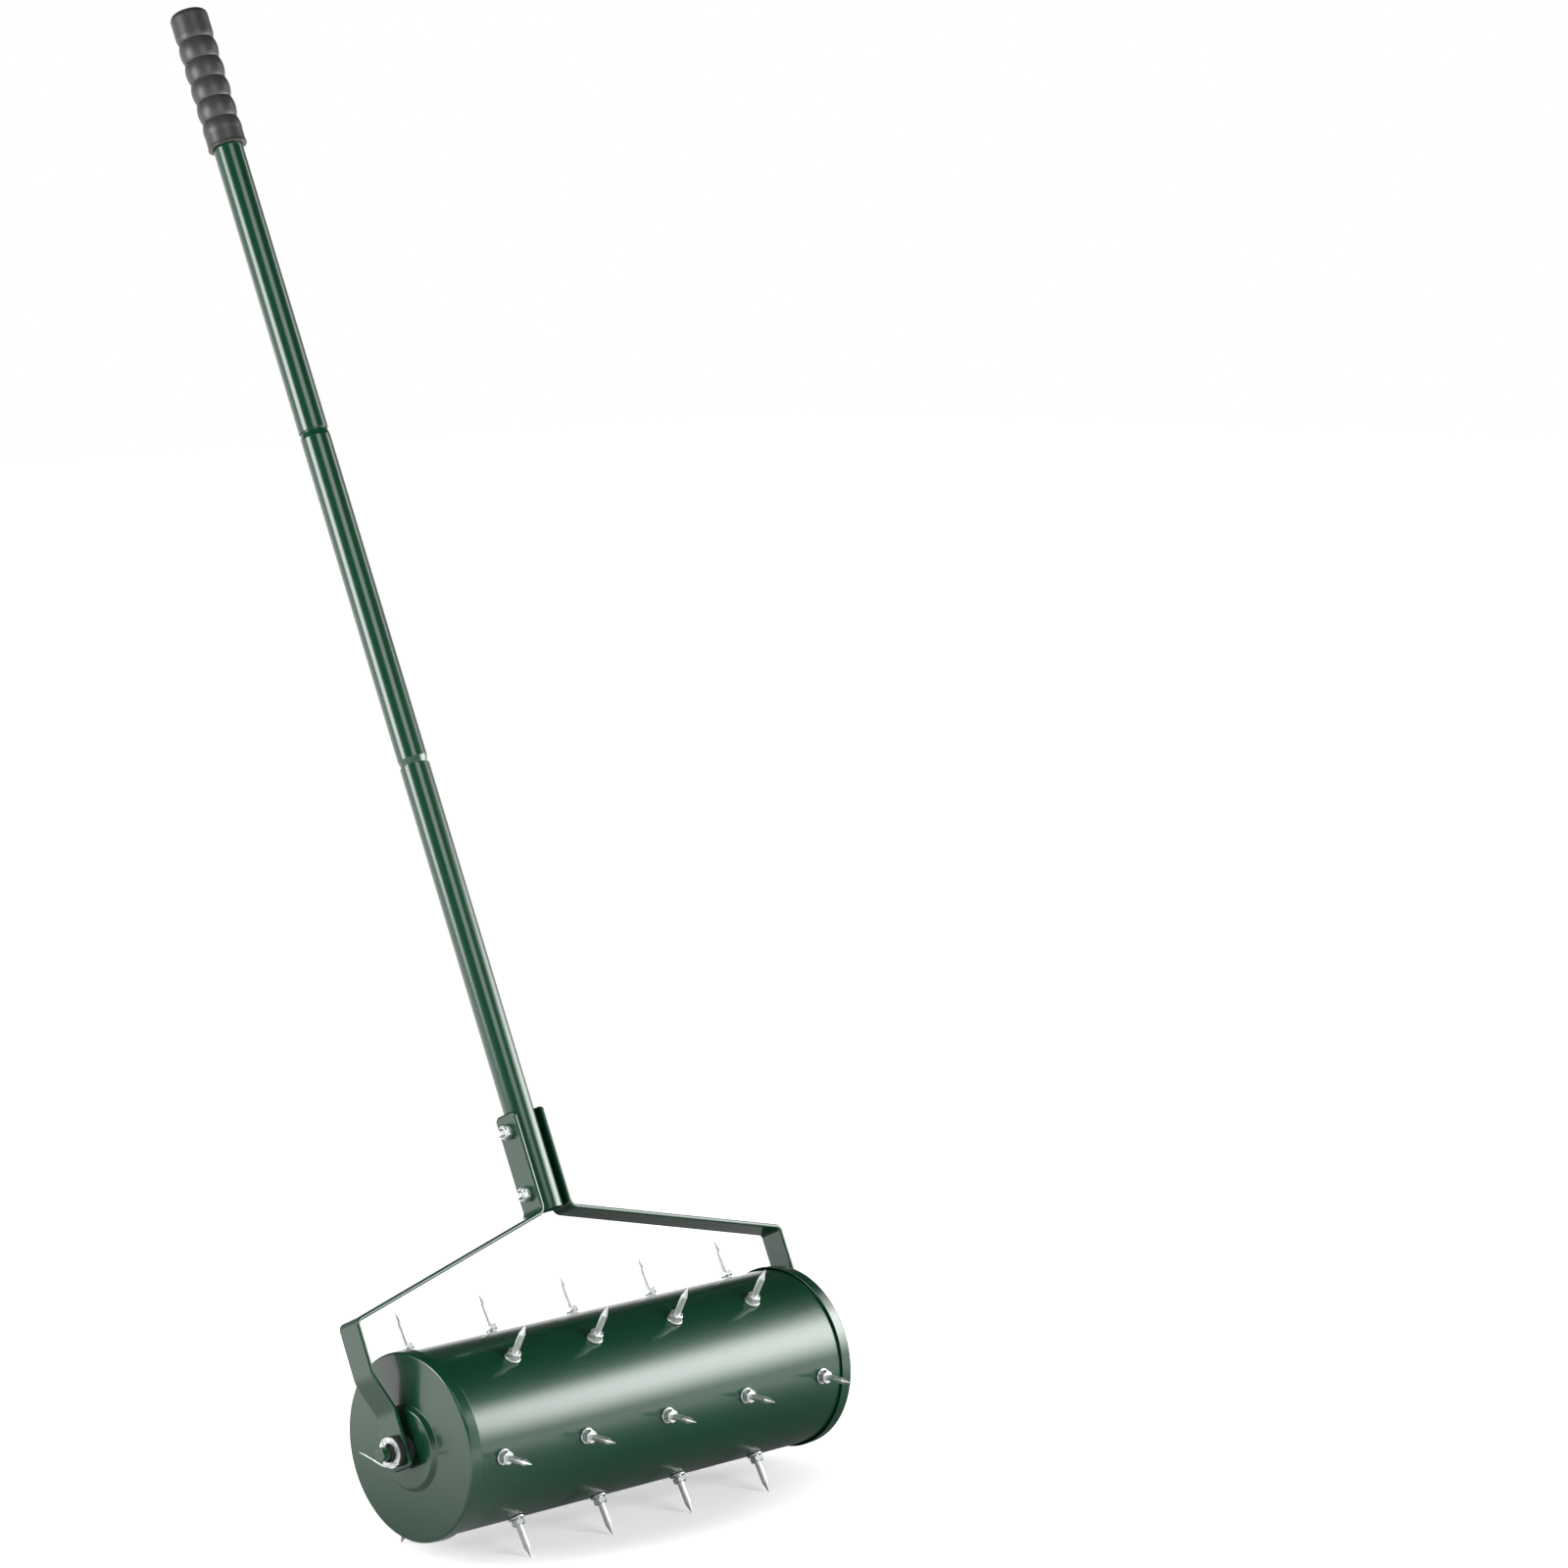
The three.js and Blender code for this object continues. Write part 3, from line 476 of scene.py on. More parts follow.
def combine(obj, part, operation):
    """Joins a closed skin to an object, or cuts it out, and keeps only the result's mesh."""
    tool = new_mesh("tool", part)
    modifier = obj.modifiers.new("combine", "BOOLEAN")
    modifier.operation = operation
    modifier.solver = "EXACT"
    modifier.object = tool
    depsgraph = bpy.context.evaluated_depsgraph_get()
    result = bpy.data.meshes.new_from_object(obj.evaluated_get(depsgraph))
    obj.modifiers.clear()
    old = obj.data
    obj.data = result
    result.name = old.name
    bpy.data.meshes.remove(old)
    old = tool.data
    bpy.data.objects.remove(tool)
    bpy.data.meshes.remove(old)


def piece(name, part, body, slot, sharp=35, join=None, cutters=()):
    """Makes, dresses and mounts the smooth piece that stands for the CAD node of this name.

    Another skin can be joined to it first, and holes cut. Edges that turn by more degrees
    than sharp stay sharp.
    """
    obj = new_mesh(f"{name}_surface", part)
    if join is not None:
        combine(obj, join, "UNION")
    if cutters:
        combine(obj, joined(*cutters), "DIFFERENCE")
    mesh = obj.data
    mesh.shade_smooth()
    mesh.set_sharp_from_angle(angle=math.radians(sharp))
    mesh.materials.clear()
    mesh.materials.append(coat(slot))
    level = obj.modifiers.new("level_flats", "WEIGHTED_NORMAL")
    level.mode = "FACE_AREA"
    level.keep_sharp = True
    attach(obj, body)
    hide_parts(name)


def both_ends(name, profile, sides, body, slot, sharp=35):
    """A turned piece at each end of the rod. The profile's heights point out."""
    for hand, side in SIDES.items():
        part = on_rod(turned(profile, sides), side)
        piece(f"{name}_{hand}", part, body, slot, sharp)


# ---------------------------------------------------------------- finishes

# Each material slot's coat. Over the broad patches of its noise the colour goes to the tint
# times itself and the roughness through its range. The fine noise is the bump.
COATS = {
    # Gloss green powder coat, with the slight orange peel that such a coat has
    "green_paint": {
        "name": "powder_coat",
        "colour": "green",
        "tint": 1.08,
        "rough": (0.246, 0.27),
        "scales": (9, 420),
        "bump": (0.03, 0.0003),
        "constants": {"IOR": 1.5, "Coat Weight": 0.6, "Coat Roughness": 0.08},
    },
    # Bright zinc plate with faint cloudy patches
    "zinc_plate": {
        "name": "zinc_plate",
        "colour": "zinc",
        "tint": 0.9,
        "rough": (0.03, 0.07),
        "scales": (160, 2600),
        "bump": (0.03, 0.0001),
        "constants": {"Metallic": 1.0},
    },
    # Moulded rubber with a fine matt grain
    "grip_rubber": {
        "name": "grip_rubber",
        "colour": "rubber",
        "tint": 1.4,
        "rough": (0.36, 0.46),
        "scales": (60, 2400),
        "bump": (0.2, 0.0003),
        "constants": {"IOR": 1.3},
    },
    # Moulded nylon of the bushes and rings
    "black_nylon": {
        "name": "black_nylon",
        "colour": "nylon",
        "tint": 1.5,
        "rough": (0.38, 0.5),
        "scales": (120, 2600),
        "bump": (0.1, 0.0002),
        "constants": {"IOR": 1.5},
    },
}


def fill(tree, made, inputs):
    """Gives each input of a node its value, or links it to an output."""
    for key, value in inputs.items():
        if isinstance(value, bpy.types.NodeSocket):
            tree.links.new(value, made.inputs[key])
        else:
            made.inputs[key].default_value = value


def node(tree, kind, inputs=None, **settings):
    """A new node with these settings, and with its inputs filled."""
    made = tree.nodes.new(kind)
    for key, value in settings.items():
        setattr(made, key, value)
    fill(tree, made, inputs or {})
    return made


def calculated(tree, operation, *values):
    """The result of a calculation on numbers or outputs."""
    made = node(tree, "ShaderNodeMath", dict(enumerate(values)), operation=operation)
    return made.outputs["Value"]


def spread(tree, value, target, source=(0.1, 0.9), kind="LINEAR"):
    """A number that goes through the target range as the value goes through the source range."""
    inputs = {
        "Value": value,
        "From Min": source[0],
        "From Max": source[1],
        "To Min": target[0],
        "To Max": target[1],
    }
    return node(tree, "ShaderNodeMapRange", inputs, interpolation_type=kind).outputs["Result"]


def tinted(tree, mask, first, second):
    """A colour that goes from the first to the second as the mask goes from 0 to 1."""
    inputs = {"Factor": mask, "A": (*first, 1), "B": (*second, 1)}
    return node(tree, "ShaderNodeMix", inputs, data_type="RGBA").outputs["Result"]


def mottle_group():
    """The shared node group: two sizes of noise on Object coordinates, made once."""
    group = bpy.data.node_groups.get("surface_mottle")
    if group is not None:
        return group
    group = bpy.data.node_groups.new("surface_mottle", "ShaderNodeTree")
    kind = "NodeSocketFloat"
    inside = node(group, "NodeGroupInput")
    outside = node(group, "NodeGroupOutput")
    where = node(group, "ShaderNodeTexCoord").outputs["Object"]
    for name, scale, detail in (("Broad", 12.0, 3.0), ("Fine", 900.0, 2.0)):
        knob = group.interface.new_socket(
            name=f"{name} Scale", in_out="INPUT", socket_type=kind
        )
        knob.default_value = scale
        group.interface.new_socket(name=name, in_out="OUTPUT", socket_type=kind)
        inputs = {"Vector": where, "Scale": inside.outputs[f"{name} Scale"], "Detail": detail}
        noise = node(group, "ShaderNodeTexNoise", inputs)
        fill(group, outside, {name: noise.outputs["Fac"]})
    return group


def coat(slot):
    """The material of a slot: its colour, roughness and bump vary over the surface."""
    plan = COATS[slot]
    material = bpy.data.materials.get(plan["name"])
    if material is not None:
        return material
    material = bpy.data.materials.new(plan["name"])
    material.use_nodes = True
    tree = material.node_tree
    base = tuple(getattr(bpy.context.scene.finishes, plan["colour"]))
    second = tuple(channel * plan["tint"] for channel in base)
    broad, fine = plan["scales"]
    scales = {"Broad Scale": broad, "Fine Scale": fine}
    mottle = node(tree, "ShaderNodeGroup", node_tree=mottle_group())
    fill(tree, mottle, scales)
    patches = mottle.outputs["Broad"]
    strength, distance = plan["bump"]
    relief = {"Strength": strength, "Distance": distance, "Height": mottle.outputs["Fine"]}
    shaded = {
        "Base Color": tinted(tree, spread(tree, patches, (0.0, 1.0)), base, second),
        "Roughness": spread(tree, patches, plan["rough"]),
        "Normal": node(tree, "ShaderNodeBump", relief).outputs["Normal"],
    }
    fill(tree, tree.nodes["Principled BSDF"], {**shaded, **plan["constants"]})
    return material


# ---------------------------------------------------------------- drum


def spike_places(drum):
    """The name, distance along the rod and outward direction of each spike."""
    places = []
    step = TAU / len(SPIKE_ROWS)
    for row, (letter, count) in enumerate(SPIKE_ROWS.items()):
        turn = math.pi - (row + 0.5) * step
        out = np.array((0.0, -math.sin(turn), math.cos(turn)))
        for i in range(count):
            x = (i - (count - 1) / 2) * drum.pitch
            places.append((f"spike_{letter}{i + 1}", x, out))
    return places


def hub_radii(axle, drum):
    """The radii of a bush's bore, of the bush and of the cap's hole over the hub tube."""
    bore = axle.rod / 2 + axle.clearance
    bush = bore + drum.bush_wall
    tube = bush + drum.fit_gap + drum.hub_wall
    return {"bore": bore, "bush": bush, "cap_hole": tube + drum.fit_gap}


class AERATOR_OT_drum_shell(bpy.types.Operator):
    """Rolls the drum's shell and pierces it under each spike"""

    bl_idname = "aerator.drum_shell"
    bl_label = "Drum shell"

    def execute(self, context):
        drum = context.scene.drum_sizes
        half = drum.cap_face - drum.cap_sheet - drum.shell_gap
        outer = drum.shell_radius
        inner = outer - drum.shell_wall
        soft = drum.shell_wall * 0.3
        profile = stepped(ring_profile(inner, outer, -half, half, soft), SHELL_STEP)
        bore = drum.stud / 2 + drum.fit_gap
        hole = cylinder(bore, inner - OVERRUN, outer + OVERRUN, SPIKE_BORE_SIDES)
        cutters = [placed(hole, HUB + x * ALONG_ROD, out) for _, x, out in spike_places(drum)]
        part = on_rod(turned(profile, DRUM_SIDES), 1)
        piece("drum_shell", part, "drum", "green_paint", cutters=cutters)
        return {"FINISHED"}


class AERATOR_OT_end_caps(bpy.types.Operator):
    """Presses the two end caps with their rims and bosses"""

    bl_idname = "aerator.end_caps"
    bl_label = "End caps"

    def execute(self, context):
        drum, axle, _, _ = all_sizes(context)
        sheet, edge = drum.cap_sheet, drum.cap_edge
        inner = drum.shell_radius + drum.fit_gap
        outer = inner + sheet
        rim = drum.cap_face - drum.cap_rim
        face, boss_face = drum.cap_face, drum.cap_face + drum.boss_height
        boss_foot, boss_top = drum.boss_foot, drum.boss_top
        hole = hub_radii(axle, drum)["cap_hole"]
        slope = math.atan2(drum.boss_height, boss_foot - boss_top)
        shift = sheet * math.tan(slope / 2)
        lip, tight = sheet * 0.48, sheet * 0.3
        foot_bend, top_bend = edge * 0.4, edge * 0.8
        # Each corner of the sheet's outline, as (radius, distance along the rod), and its bend
        outline = [
            ((inner + drum.cap_flare, rim), lip),
            ((outer + drum.cap_flare, rim), lip),
            ((outer, face), edge),
            ((boss_foot, face), foot_bend),
            ((boss_top, boss_face), top_bend),
            ((hole, boss_face), tight),
            ((hole, boss_face - sheet), tight),
            ((boss_top - shift, boss_face - sheet), top_bend / 2),
            ((boss_foot - shift, face - sheet), top_bend / 2),
            ((inner, face - sheet), edge / 2),
        ]
        profile = rounded(*zip(*outline), 7, loop=True)
        both_ends("end_cap", profile, DRUM_SIDES, "drum", "green_paint", 25)
        return {"FINISHED"}


class AERATOR_OT_hub(bpy.types.Operator):
    """Makes the flanged bushes and dresses the tube between the caps"""

    bl_idname = "aerator.hub"
    bl_label = "Hub"

    def execute(self, context):
        drum, axle, _, _ = all_sizes(context)
        radii = hub_radii(axle, drum)
        seat = drum.cap_face + drum.boss_height + drum.fit_gap
        outside = (radii["bush"], drum.bush_flange / 2)
        heights = (seat - drum.bush_depth, seat, seat + drum.bush_lip)
        profile = shoulder_profile(radii["bore"], outside, heights, [0.4 * MM] * 6)
        both_ends("hub_bush", profile, RING_SIDES, "drum", "black_nylon")
        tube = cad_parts["hub_tube"]
        tube.data.materials.clear()
        tube.data.materials.append(coat("zinc_plate"))
        return {"FINISHED"}


class AERATOR_OT_spikes(bpy.types.Operator):
    """Makes each spike with its hexagon collar and the flanged rivet nut under it"""

    bl_idname = "aerator.spikes"
    bl_label = "Spikes"

    def execute(self, context):
        drum = context.scene.drum_sizes
        shank, stud = drum.shank / 2, drum.stud / 2
        flange, groove = drum.flange / 2, drum.groove / 2
        seat = drum.flange_height
        collar_foot = seat + drum.groove_height
        # The neck ends a little way up inside the collar
        neck_top = collar_foot + 0.2 * MM
        # Each corner of the outline, as (radius, distance outwards), and its rounding
        outline = [
            ((0, -drum.stud_length), 0),
            ((stud, -drum.stud_length), 0.3 * MM),
            ((stud, 0), 0),
            ((flange, 0), 0.5 * MM),
            ((flange, seat), 0.6 * MM),
            ((groove, seat), 0.1 * MM),
            ((groove, neck_top), 0),
            ((shank, neck_top), 0),
            ((shank, drum.spike_length - drum.point_length), 1.2 * MM),
            ((0.25 * MM, drum.spike_length), 0.12 * MM),
            ((0, drum.spike_length), 0),
        ]
        body = turned(rounded(*zip(*outline), 4), SPIKE_SIDES)
        heights = (collar_foot, seat + drum.collar_height)
        collar = hexagon(drum.collar_flats, heights, 0.8 * MM, RING_SIDES)
        for name, x, out in spike_places(drum):
            origin = HUB + x * ALONG_ROD + out * (drum.shell_radius + drum.fit_gap)
            nut = placed(collar, origin, out, np.roll(out, 1))
            piece(name, placed(body, origin, out), "drum", "zinc_plate", 28, nut)
        return {"FINISHED"}


# ---------------------------------------------------------------- axle


def axle_stack(drum, axle, fork):
    """The outer face of each ring on the rod, the leg's middle, the places of the cotter pin
    and the rod's end, and the radius of the cross hole."""
    gap = drum.fit_gap
    bush = drum.cap_face + drum.boss_height + gap + drum.bush_lip
    inner_washer = bush + gap + axle.inner_washer
    leg_inner = inner_washer + gap
    leg_outer = leg_inner + fork.thickness
    spacer = leg_outer + gap + axle.spacer
    outer_washer = spacer + gap + axle.outer_washer
    ring = outer_washer + axle.neck
    cross_hole = axle.wire + gap / 2 + gap
    return {
        "inner_washer": inner_washer,
        "leg": (leg_inner + leg_outer) / 2,
        "spacer": spacer,
        "outer_washer": outer_washer,
        "ring": ring,
        "cross_hole": cross_hole,
        "cotter": ring + gap + cross_hole,
        "end": ring + axle.rod_end,
    }


class AERATOR_OT_axle(bpy.types.Operator):
    """Makes the rod with its cross holes, the washers and the dark rings"""

    bl_idname = "aerator.axle"
    bl_label = "Axle"

    def execute(self, context):
        drum, axle, fork, _ = all_sizes(context)
        stack = axle_stack(drum, axle, fork)
        radius, end = axle.rod / 2, stack["end"]
        rod = cylinder(radius, -end, end, ROUND_SIDES, (0.8 * MM, 0.8 * MM))
        reach = radius + OVERRUN
        hole = cylinder(stack["cross_hole"], -reach, reach, CROSS_BORE_SIDES)
        places = [HUB + side * stack["cotter"] * ALONG_ROD for side in SIDES.values()]
        cutters = [placed(hole, place, UP) for place in places]
        piece("axle_rod", on_rod(rod, 1), "axle", "green_paint", cutters=cutters)

        bore = radius + axle.clearance
        wide, neck = axle.washer / 2, axle.ring / 2
        soft = 0.35 * MM
        face = stack["inner_washer"]
        washer = ring_profile(bore, wide, face - axle.inner_washer, face, soft)
        both_ends("inner_washer", washer, ROUND_SIDES, "axle", "black_nylon")
        face = stack["outer_washer"]
        bright_bore = neck + drum.fit_gap
        washer = ring_profile(bright_bore, wide, face - axle.outer_washer, face, soft)
        both_ends("outer_washer", washer, ROUND_SIDES, "axle", "zinc_plate")
        face = stack["spacer"]
        heights = (face - axle.spacer, face, stack["ring"])
        edges = [soft, soft, soft, 0.1 * MM, soft, soft]
        ring = shoulder_profile(bore, (wide, neck), heights, edges)
        both_ends("collar_ring", ring, ROUND_SIDES, "axle", "black_nylon")
        return {"FINISHED"}


def smooth_route(places, per_span):
    """A curve through the places: each span is the cubic whose slopes at its two ends are half
    the step between the neighbours of that end (Catmull and Rom's rule)."""
    places = np.asarray(places, float)
    before, after = 2 * places[:1] - places[1:2], 2 * places[-1:] - places[-2:-1]
    padded = np.concatenate((before, places, after))
    t = np.linspace(0, 1, per_span, endpoint=False)[None, :, None]
    a, b, c, d = (padded[i : len(places) - 1 + i, None] for i in range(4))
    square = (2 * a - 5 * b + 4 * c - d) * t**2
    cubic = (3 * b - a - 3 * c + d) * t**3
    spans = 0.5 * (2 * b + (c - a) * t + square + cubic)
    return np.concatenate((spans.reshape(-1, places.shape[1]), places[-1:]))


def flat_wire(route, radius, sides):
    """A round wire along a route in the plane of Y and Z, with softened ends.

    Each ring is the route's point plus the radius times (cos, sin) in the directions of the
    route's left side and of X. The first and last three rings are smaller.
    """
    slope = np.gradient(route, axis=0)
    slope /= np.linalg.norm(slope, axis=1)[:, None]
    left = np.stack((-slope[:, 1], slope[:, 0]), 1)
    ends = np.array((0.55, 0.86, 1.0))
    middle = np.ones(len(route) - 2 * len(ends))
    sizes = np.concatenate((ends, middle, ends[::-1])) * radius
    angle = TAU * np.arange(sides) / sides
    flat = route[:, None] + (sizes[:, None] * np.cos(angle))[..., None] * left[:, None]
    x = sizes[:, None] * np.sin(angle)
    return lofted(np.concatenate((x[..., None], flat), 2))


class AERATOR_OT_cotter_pins(bpy.types.Operator):
    """Folds the two cotter pins: an eye over the rod and two legs spread under it"""

    bl_idname = "aerator.cotter_pins"
    bl_label = "Cotter pins"

    def execute(self, context):
        drum, axle, fork, _ = all_sizes(context)
        stack = axle_stack(drum, axle, fork)
        wire, radius = axle.wire, axle.rod / 2
        offset = (wire + drum.fit_gap) / 2
        bend = -(radius + axle.leg_drop)
        eye = radius + axle.eye_stand + axle.eye
        corner = offset + wire
        long_leg, long_rise = axle.long_leg, axle.long_rise
        short_leg, short_rise = axle.short_leg, axle.short_rise
        places = [
            (long_leg, bend + long_rise),
            (long_leg / 2, bend + long_rise / 2),
            (corner, bend),
            (offset, bend + wire),
            (offset, 0),
            (offset, radius),
            (axle.eye, eye),
            (0, eye + axle.eye),
            (-axle.eye, eye),
            (-offset, radius),
            (-offset, 0),
            (-offset, bend + wire),
            (-corner, bend),
            (-short_leg / 2, bend + short_rise / 2),
            (-short_leg, bend + short_rise),
        ]
        verts, faces = flat_wire(smooth_route(places, 10), wire / 2, WIRE_SIDES)
        for hand, side in SIDES.items():
            pin = (verts + HUB + side * stack["cotter"] * ALONG_ROD, faces)
            piece(f"cotter_pin_{hand}", pin, "axle", "zinc_plate", 50)
        return {"FINISHED"}


# ---------------------------------------------------------------- fork


def bar_route(drum, axle, fork, handle):
    """The middle line of the right bar as (distance along X, height), bends rounded."""
    plate = handle.tube / 2 + drum.fit_gap + fork.thickness / 2
    leg = axle_stack(drum, axle, fork)["leg"]
    shoulder = leg + fork.joggle_offset
    corners = [
        (plate, fork.top),
        (plate, fork.neck),
        (shoulder, fork.shoulder),
        (shoulder, fork.joggle_top),
        (leg, fork.joggle_foot),
        (leg, -fork.tail),
    ]
    radii = [0, fork.neck_bend, fork.shoulder_bend, fork.joggle_bend, fork.joggle_bend, 0]
    return rounded(corners, radii, 10)


def bar_skin(route, fork):
    """The rings of a flat bar along a bent line, as (along X, across the bar, up the handle).

    Each ring is a rounded rectangle across the route: its width runs across the fork and its
    thickness along the route's side. Near both ends the width follows a quarter circle, so
    the bar's corners are round, and the thickness draws in by the edge's radius.
    """
    half, thick, edge, corner = fork.width / 2, fork.thickness / 2, fork.edge, fork.corner
    inset = corner * (1 - np.sin(np.linspace(0, QUARTER, 7)))
    inset[-1] = 0.0
    ends = []
    for here, ahead in ((route[0], route[1]), (route[-1], route[-2])):
        step = (ahead - here) / np.linalg.norm(ahead - here)
        ends.append(here + step * inset[:, None])
    stations = np.concatenate((ends[0][::-1], route[1:-1], ends[1]))
    near = np.concatenate((inset[::-1], np.full(len(route) - 2, corner), inset))
    width = half - corner + np.sqrt(np.maximum(corner**2 - (corner - near) ** 2, 0))
    close = np.minimum(near, edge)
    depth = thick - edge + np.sqrt(np.maximum(edge**2 - (edge - close) ** 2, 0))
    slope = np.gradient(stations, axis=0)
    slope /= np.linalg.norm(slope, axis=1)[:, None]
    side = np.stack((slope[:, 1], -slope[:, 0]), 1)
    rings = []
    for turn, (u, w) in enumerate(((1, 1), (-1, 1), (-1, -1), (1, -1))):
        unit = arc((0, 0), 1, turn * QUARTER, (turn + 1) * QUARTER, 6)
        across = u * (width[:, None] - edge) + edge * unit[None, :, 0]
        out = w * (depth[:, None] - edge) + edge * unit[None, :, 1]
        x = stations[:, None, 0] + out * side[:, None, 0]
        height = stations[:, None, 1] + out * side[:, None, 1]
        rings.append(np.stack((x, across, height), 2))
    return np.concatenate(rings, 1)


class AERATOR_OT_fork_bars(bpy.types.Operator):
    """Bends the two flat bars and drills them for the bolts and the rod"""

    bl_idname = "aerator.fork_bars"
    bl_label = "Fork bars"

    def execute(self, context):
        drum, axle, fork, handle = all_sizes(context)
        rings = bar_skin(bar_route(drum, axle, fork, handle), fork)
        reach = axle_stack(drum, axle, fork)["end"]
        bolt_hole = cylinder(fork.bolt / 2 + drum.fit_gap, 0, reach)
        rod_hole = cylinder(axle.rod / 2 + axle.clearance, 0, reach)
        holes = ((fork.lower_bolt, bolt_hole), (fork.upper_bolt, bolt_hole), (0, rod_hole))
        for hand, side in SIDES.items():
            out = side * ALONG_ROD
            part = lofted(HUB + rings @ np.stack((out, ACROSS_BAR, UP_HANDLE)))
            cutters = [
                placed(hole, HUB + height * UP_HANDLE, out, UP_HANDLE) for height, hole in holes
            ]
            piece(f"fork_bar_{hand}", part, "frame", "green_paint", 30, cutters=cutters)
        return {"FINISHED"}


class AERATOR_OT_bracket_fasteners(bpy.types.Operator):
    """Makes the two bracket bolts and their self-locking nuts"""

    bl_idname = "aerator.bracket_fasteners"
    bl_label = "Bracket fasteners"

    def execute(self, context):
        drum, _, fork, handle = all_sizes(context)
        gap = drum.fit_gap
        seat = handle.tube / 2 + gap + fork.thickness + gap
        nut_top = seat + fork.nut
        top = nut_top + fork.collar_height
        end = top + fork.bolt_end
        radius = fork.bolt / 2
        # How far the shank reaches into the head, and the collar's foot into the nut
        bite, root = 1 * MM, seat + 2 * MM
        head = hexagon(fork.flats, (seat, seat + fork.head), 1.2 * MM)
        shank = threaded(radius, -seat - bite, end, fork.thread_pitch, fork.thread_depth)
        block = hexagon(fork.flats, (seat, nut_top), 1.1 * MM)
        collar = cylinder(fork.nut_collar / 2, root, top, RING_SIDES, (0, 0.9 * MM), 5)
        bore = cylinder(radius + gap, seat - OVERRUN, end)
        for name, height in (("lower", fork.lower_bolt), ("upper", fork.upper_bolt)):
            origin = HUB + height * UP_HANDLE
            cap = placed(head, origin, ALONG_ROD, UP_HANDLE)
            bolt, nut, crown, hole = (
                placed(part, origin, -ALONG_ROD, UP_HANDLE)
                for part in (shank, block, collar, bore)
            )
            piece(f"bracket_bolt_{name}", bolt, "frame", "zinc_plate", 28, cap)
            piece(f"bracket_nut_{name}", nut, "frame", "zinc_plate", 28, crown, [hole])
        return {"FINISHED"}


# ---------------------------------------------------------------- handle


def middle_profile(handle, gap, foot, soft):
    """The closed outline of the middle tube, swaged down to a spigot at both ends."""
    radius = handle.tube / 2
    bore = radius - handle.wall
    spigot = bore - gap
    spigot_bore = spigot - handle.wall
    top = foot + handle.section
    low, high = foot + handle.spigot + handle.reveal, top - handle.spigot - handle.reveal
    low_end, high_end = low + handle.swage, high - handle.swage
    ease, step = 2.5 * MM, 0.4 * MM
    outline = [
        ((spigot_bore, foot), soft),
        ((spigot, foot), soft),
        ((spigot, low), step),
        ((radius, low_end), ease),
        ((radius, high_end), ease),
        ((spigot, high), step),
        ((spigot, top), soft),
        ((spigot_bore, top), soft),
        ((spigot_bore, high), ease),
        ((bore, high_end), ease),
        ((bore, low_end), ease),
        ((spigot_bore, low), ease),
    ]
    return rounded(*zip(*outline), 6, loop=True)


class AERATOR_OT_tubes(bpy.types.Operator):
    """Makes the three tubes, the middle one swaged down at both ends"""

    bl_idname = "aerator.tubes"
    bl_label = "Handle tubes"

    def execute(self, context):
        drum, _, fork, handle = all_sizes(context)
        gap = drum.fit_gap
        radius = handle.tube / 2
        bore = radius - handle.wall
        soft = handle.wall * 0.3
        low = handle.foot
        middle_foot = low + handle.section - handle.spigot
        upper_foot = middle_foot + handle.section - handle.spigot
        lower = ring_profile(bore, radius, low, low + handle.section, soft)
        top = upper_foot + handle.upper_section
        hole = cylinder(fork.bolt / 2 + gap, -radius - OVERRUN, radius + OVERRUN)
        holes = [
            placed(hole, HUB + height * UP_HANDLE, ALONG_ROD, UP_HANDLE)
            for height in (fork.lower_bolt, fork.upper_bolt)
        ]
        tubes = (
            ("lower_tube", stepped(lower, TUBE_STEP), holes),
            ("upper_tube", ring_profile(bore, radius, upper_foot, top, soft), ()),
            ("middle_tube", middle_profile(handle, gap, middle_foot, soft), ()),
        )
        for name, profile, cutters in tubes:
            part = on_handle(turned(profile, TUBE_SIDES))
            piece(name, part, "frame", "green_paint", cutters=cutters)
        return {"FINISHED"}


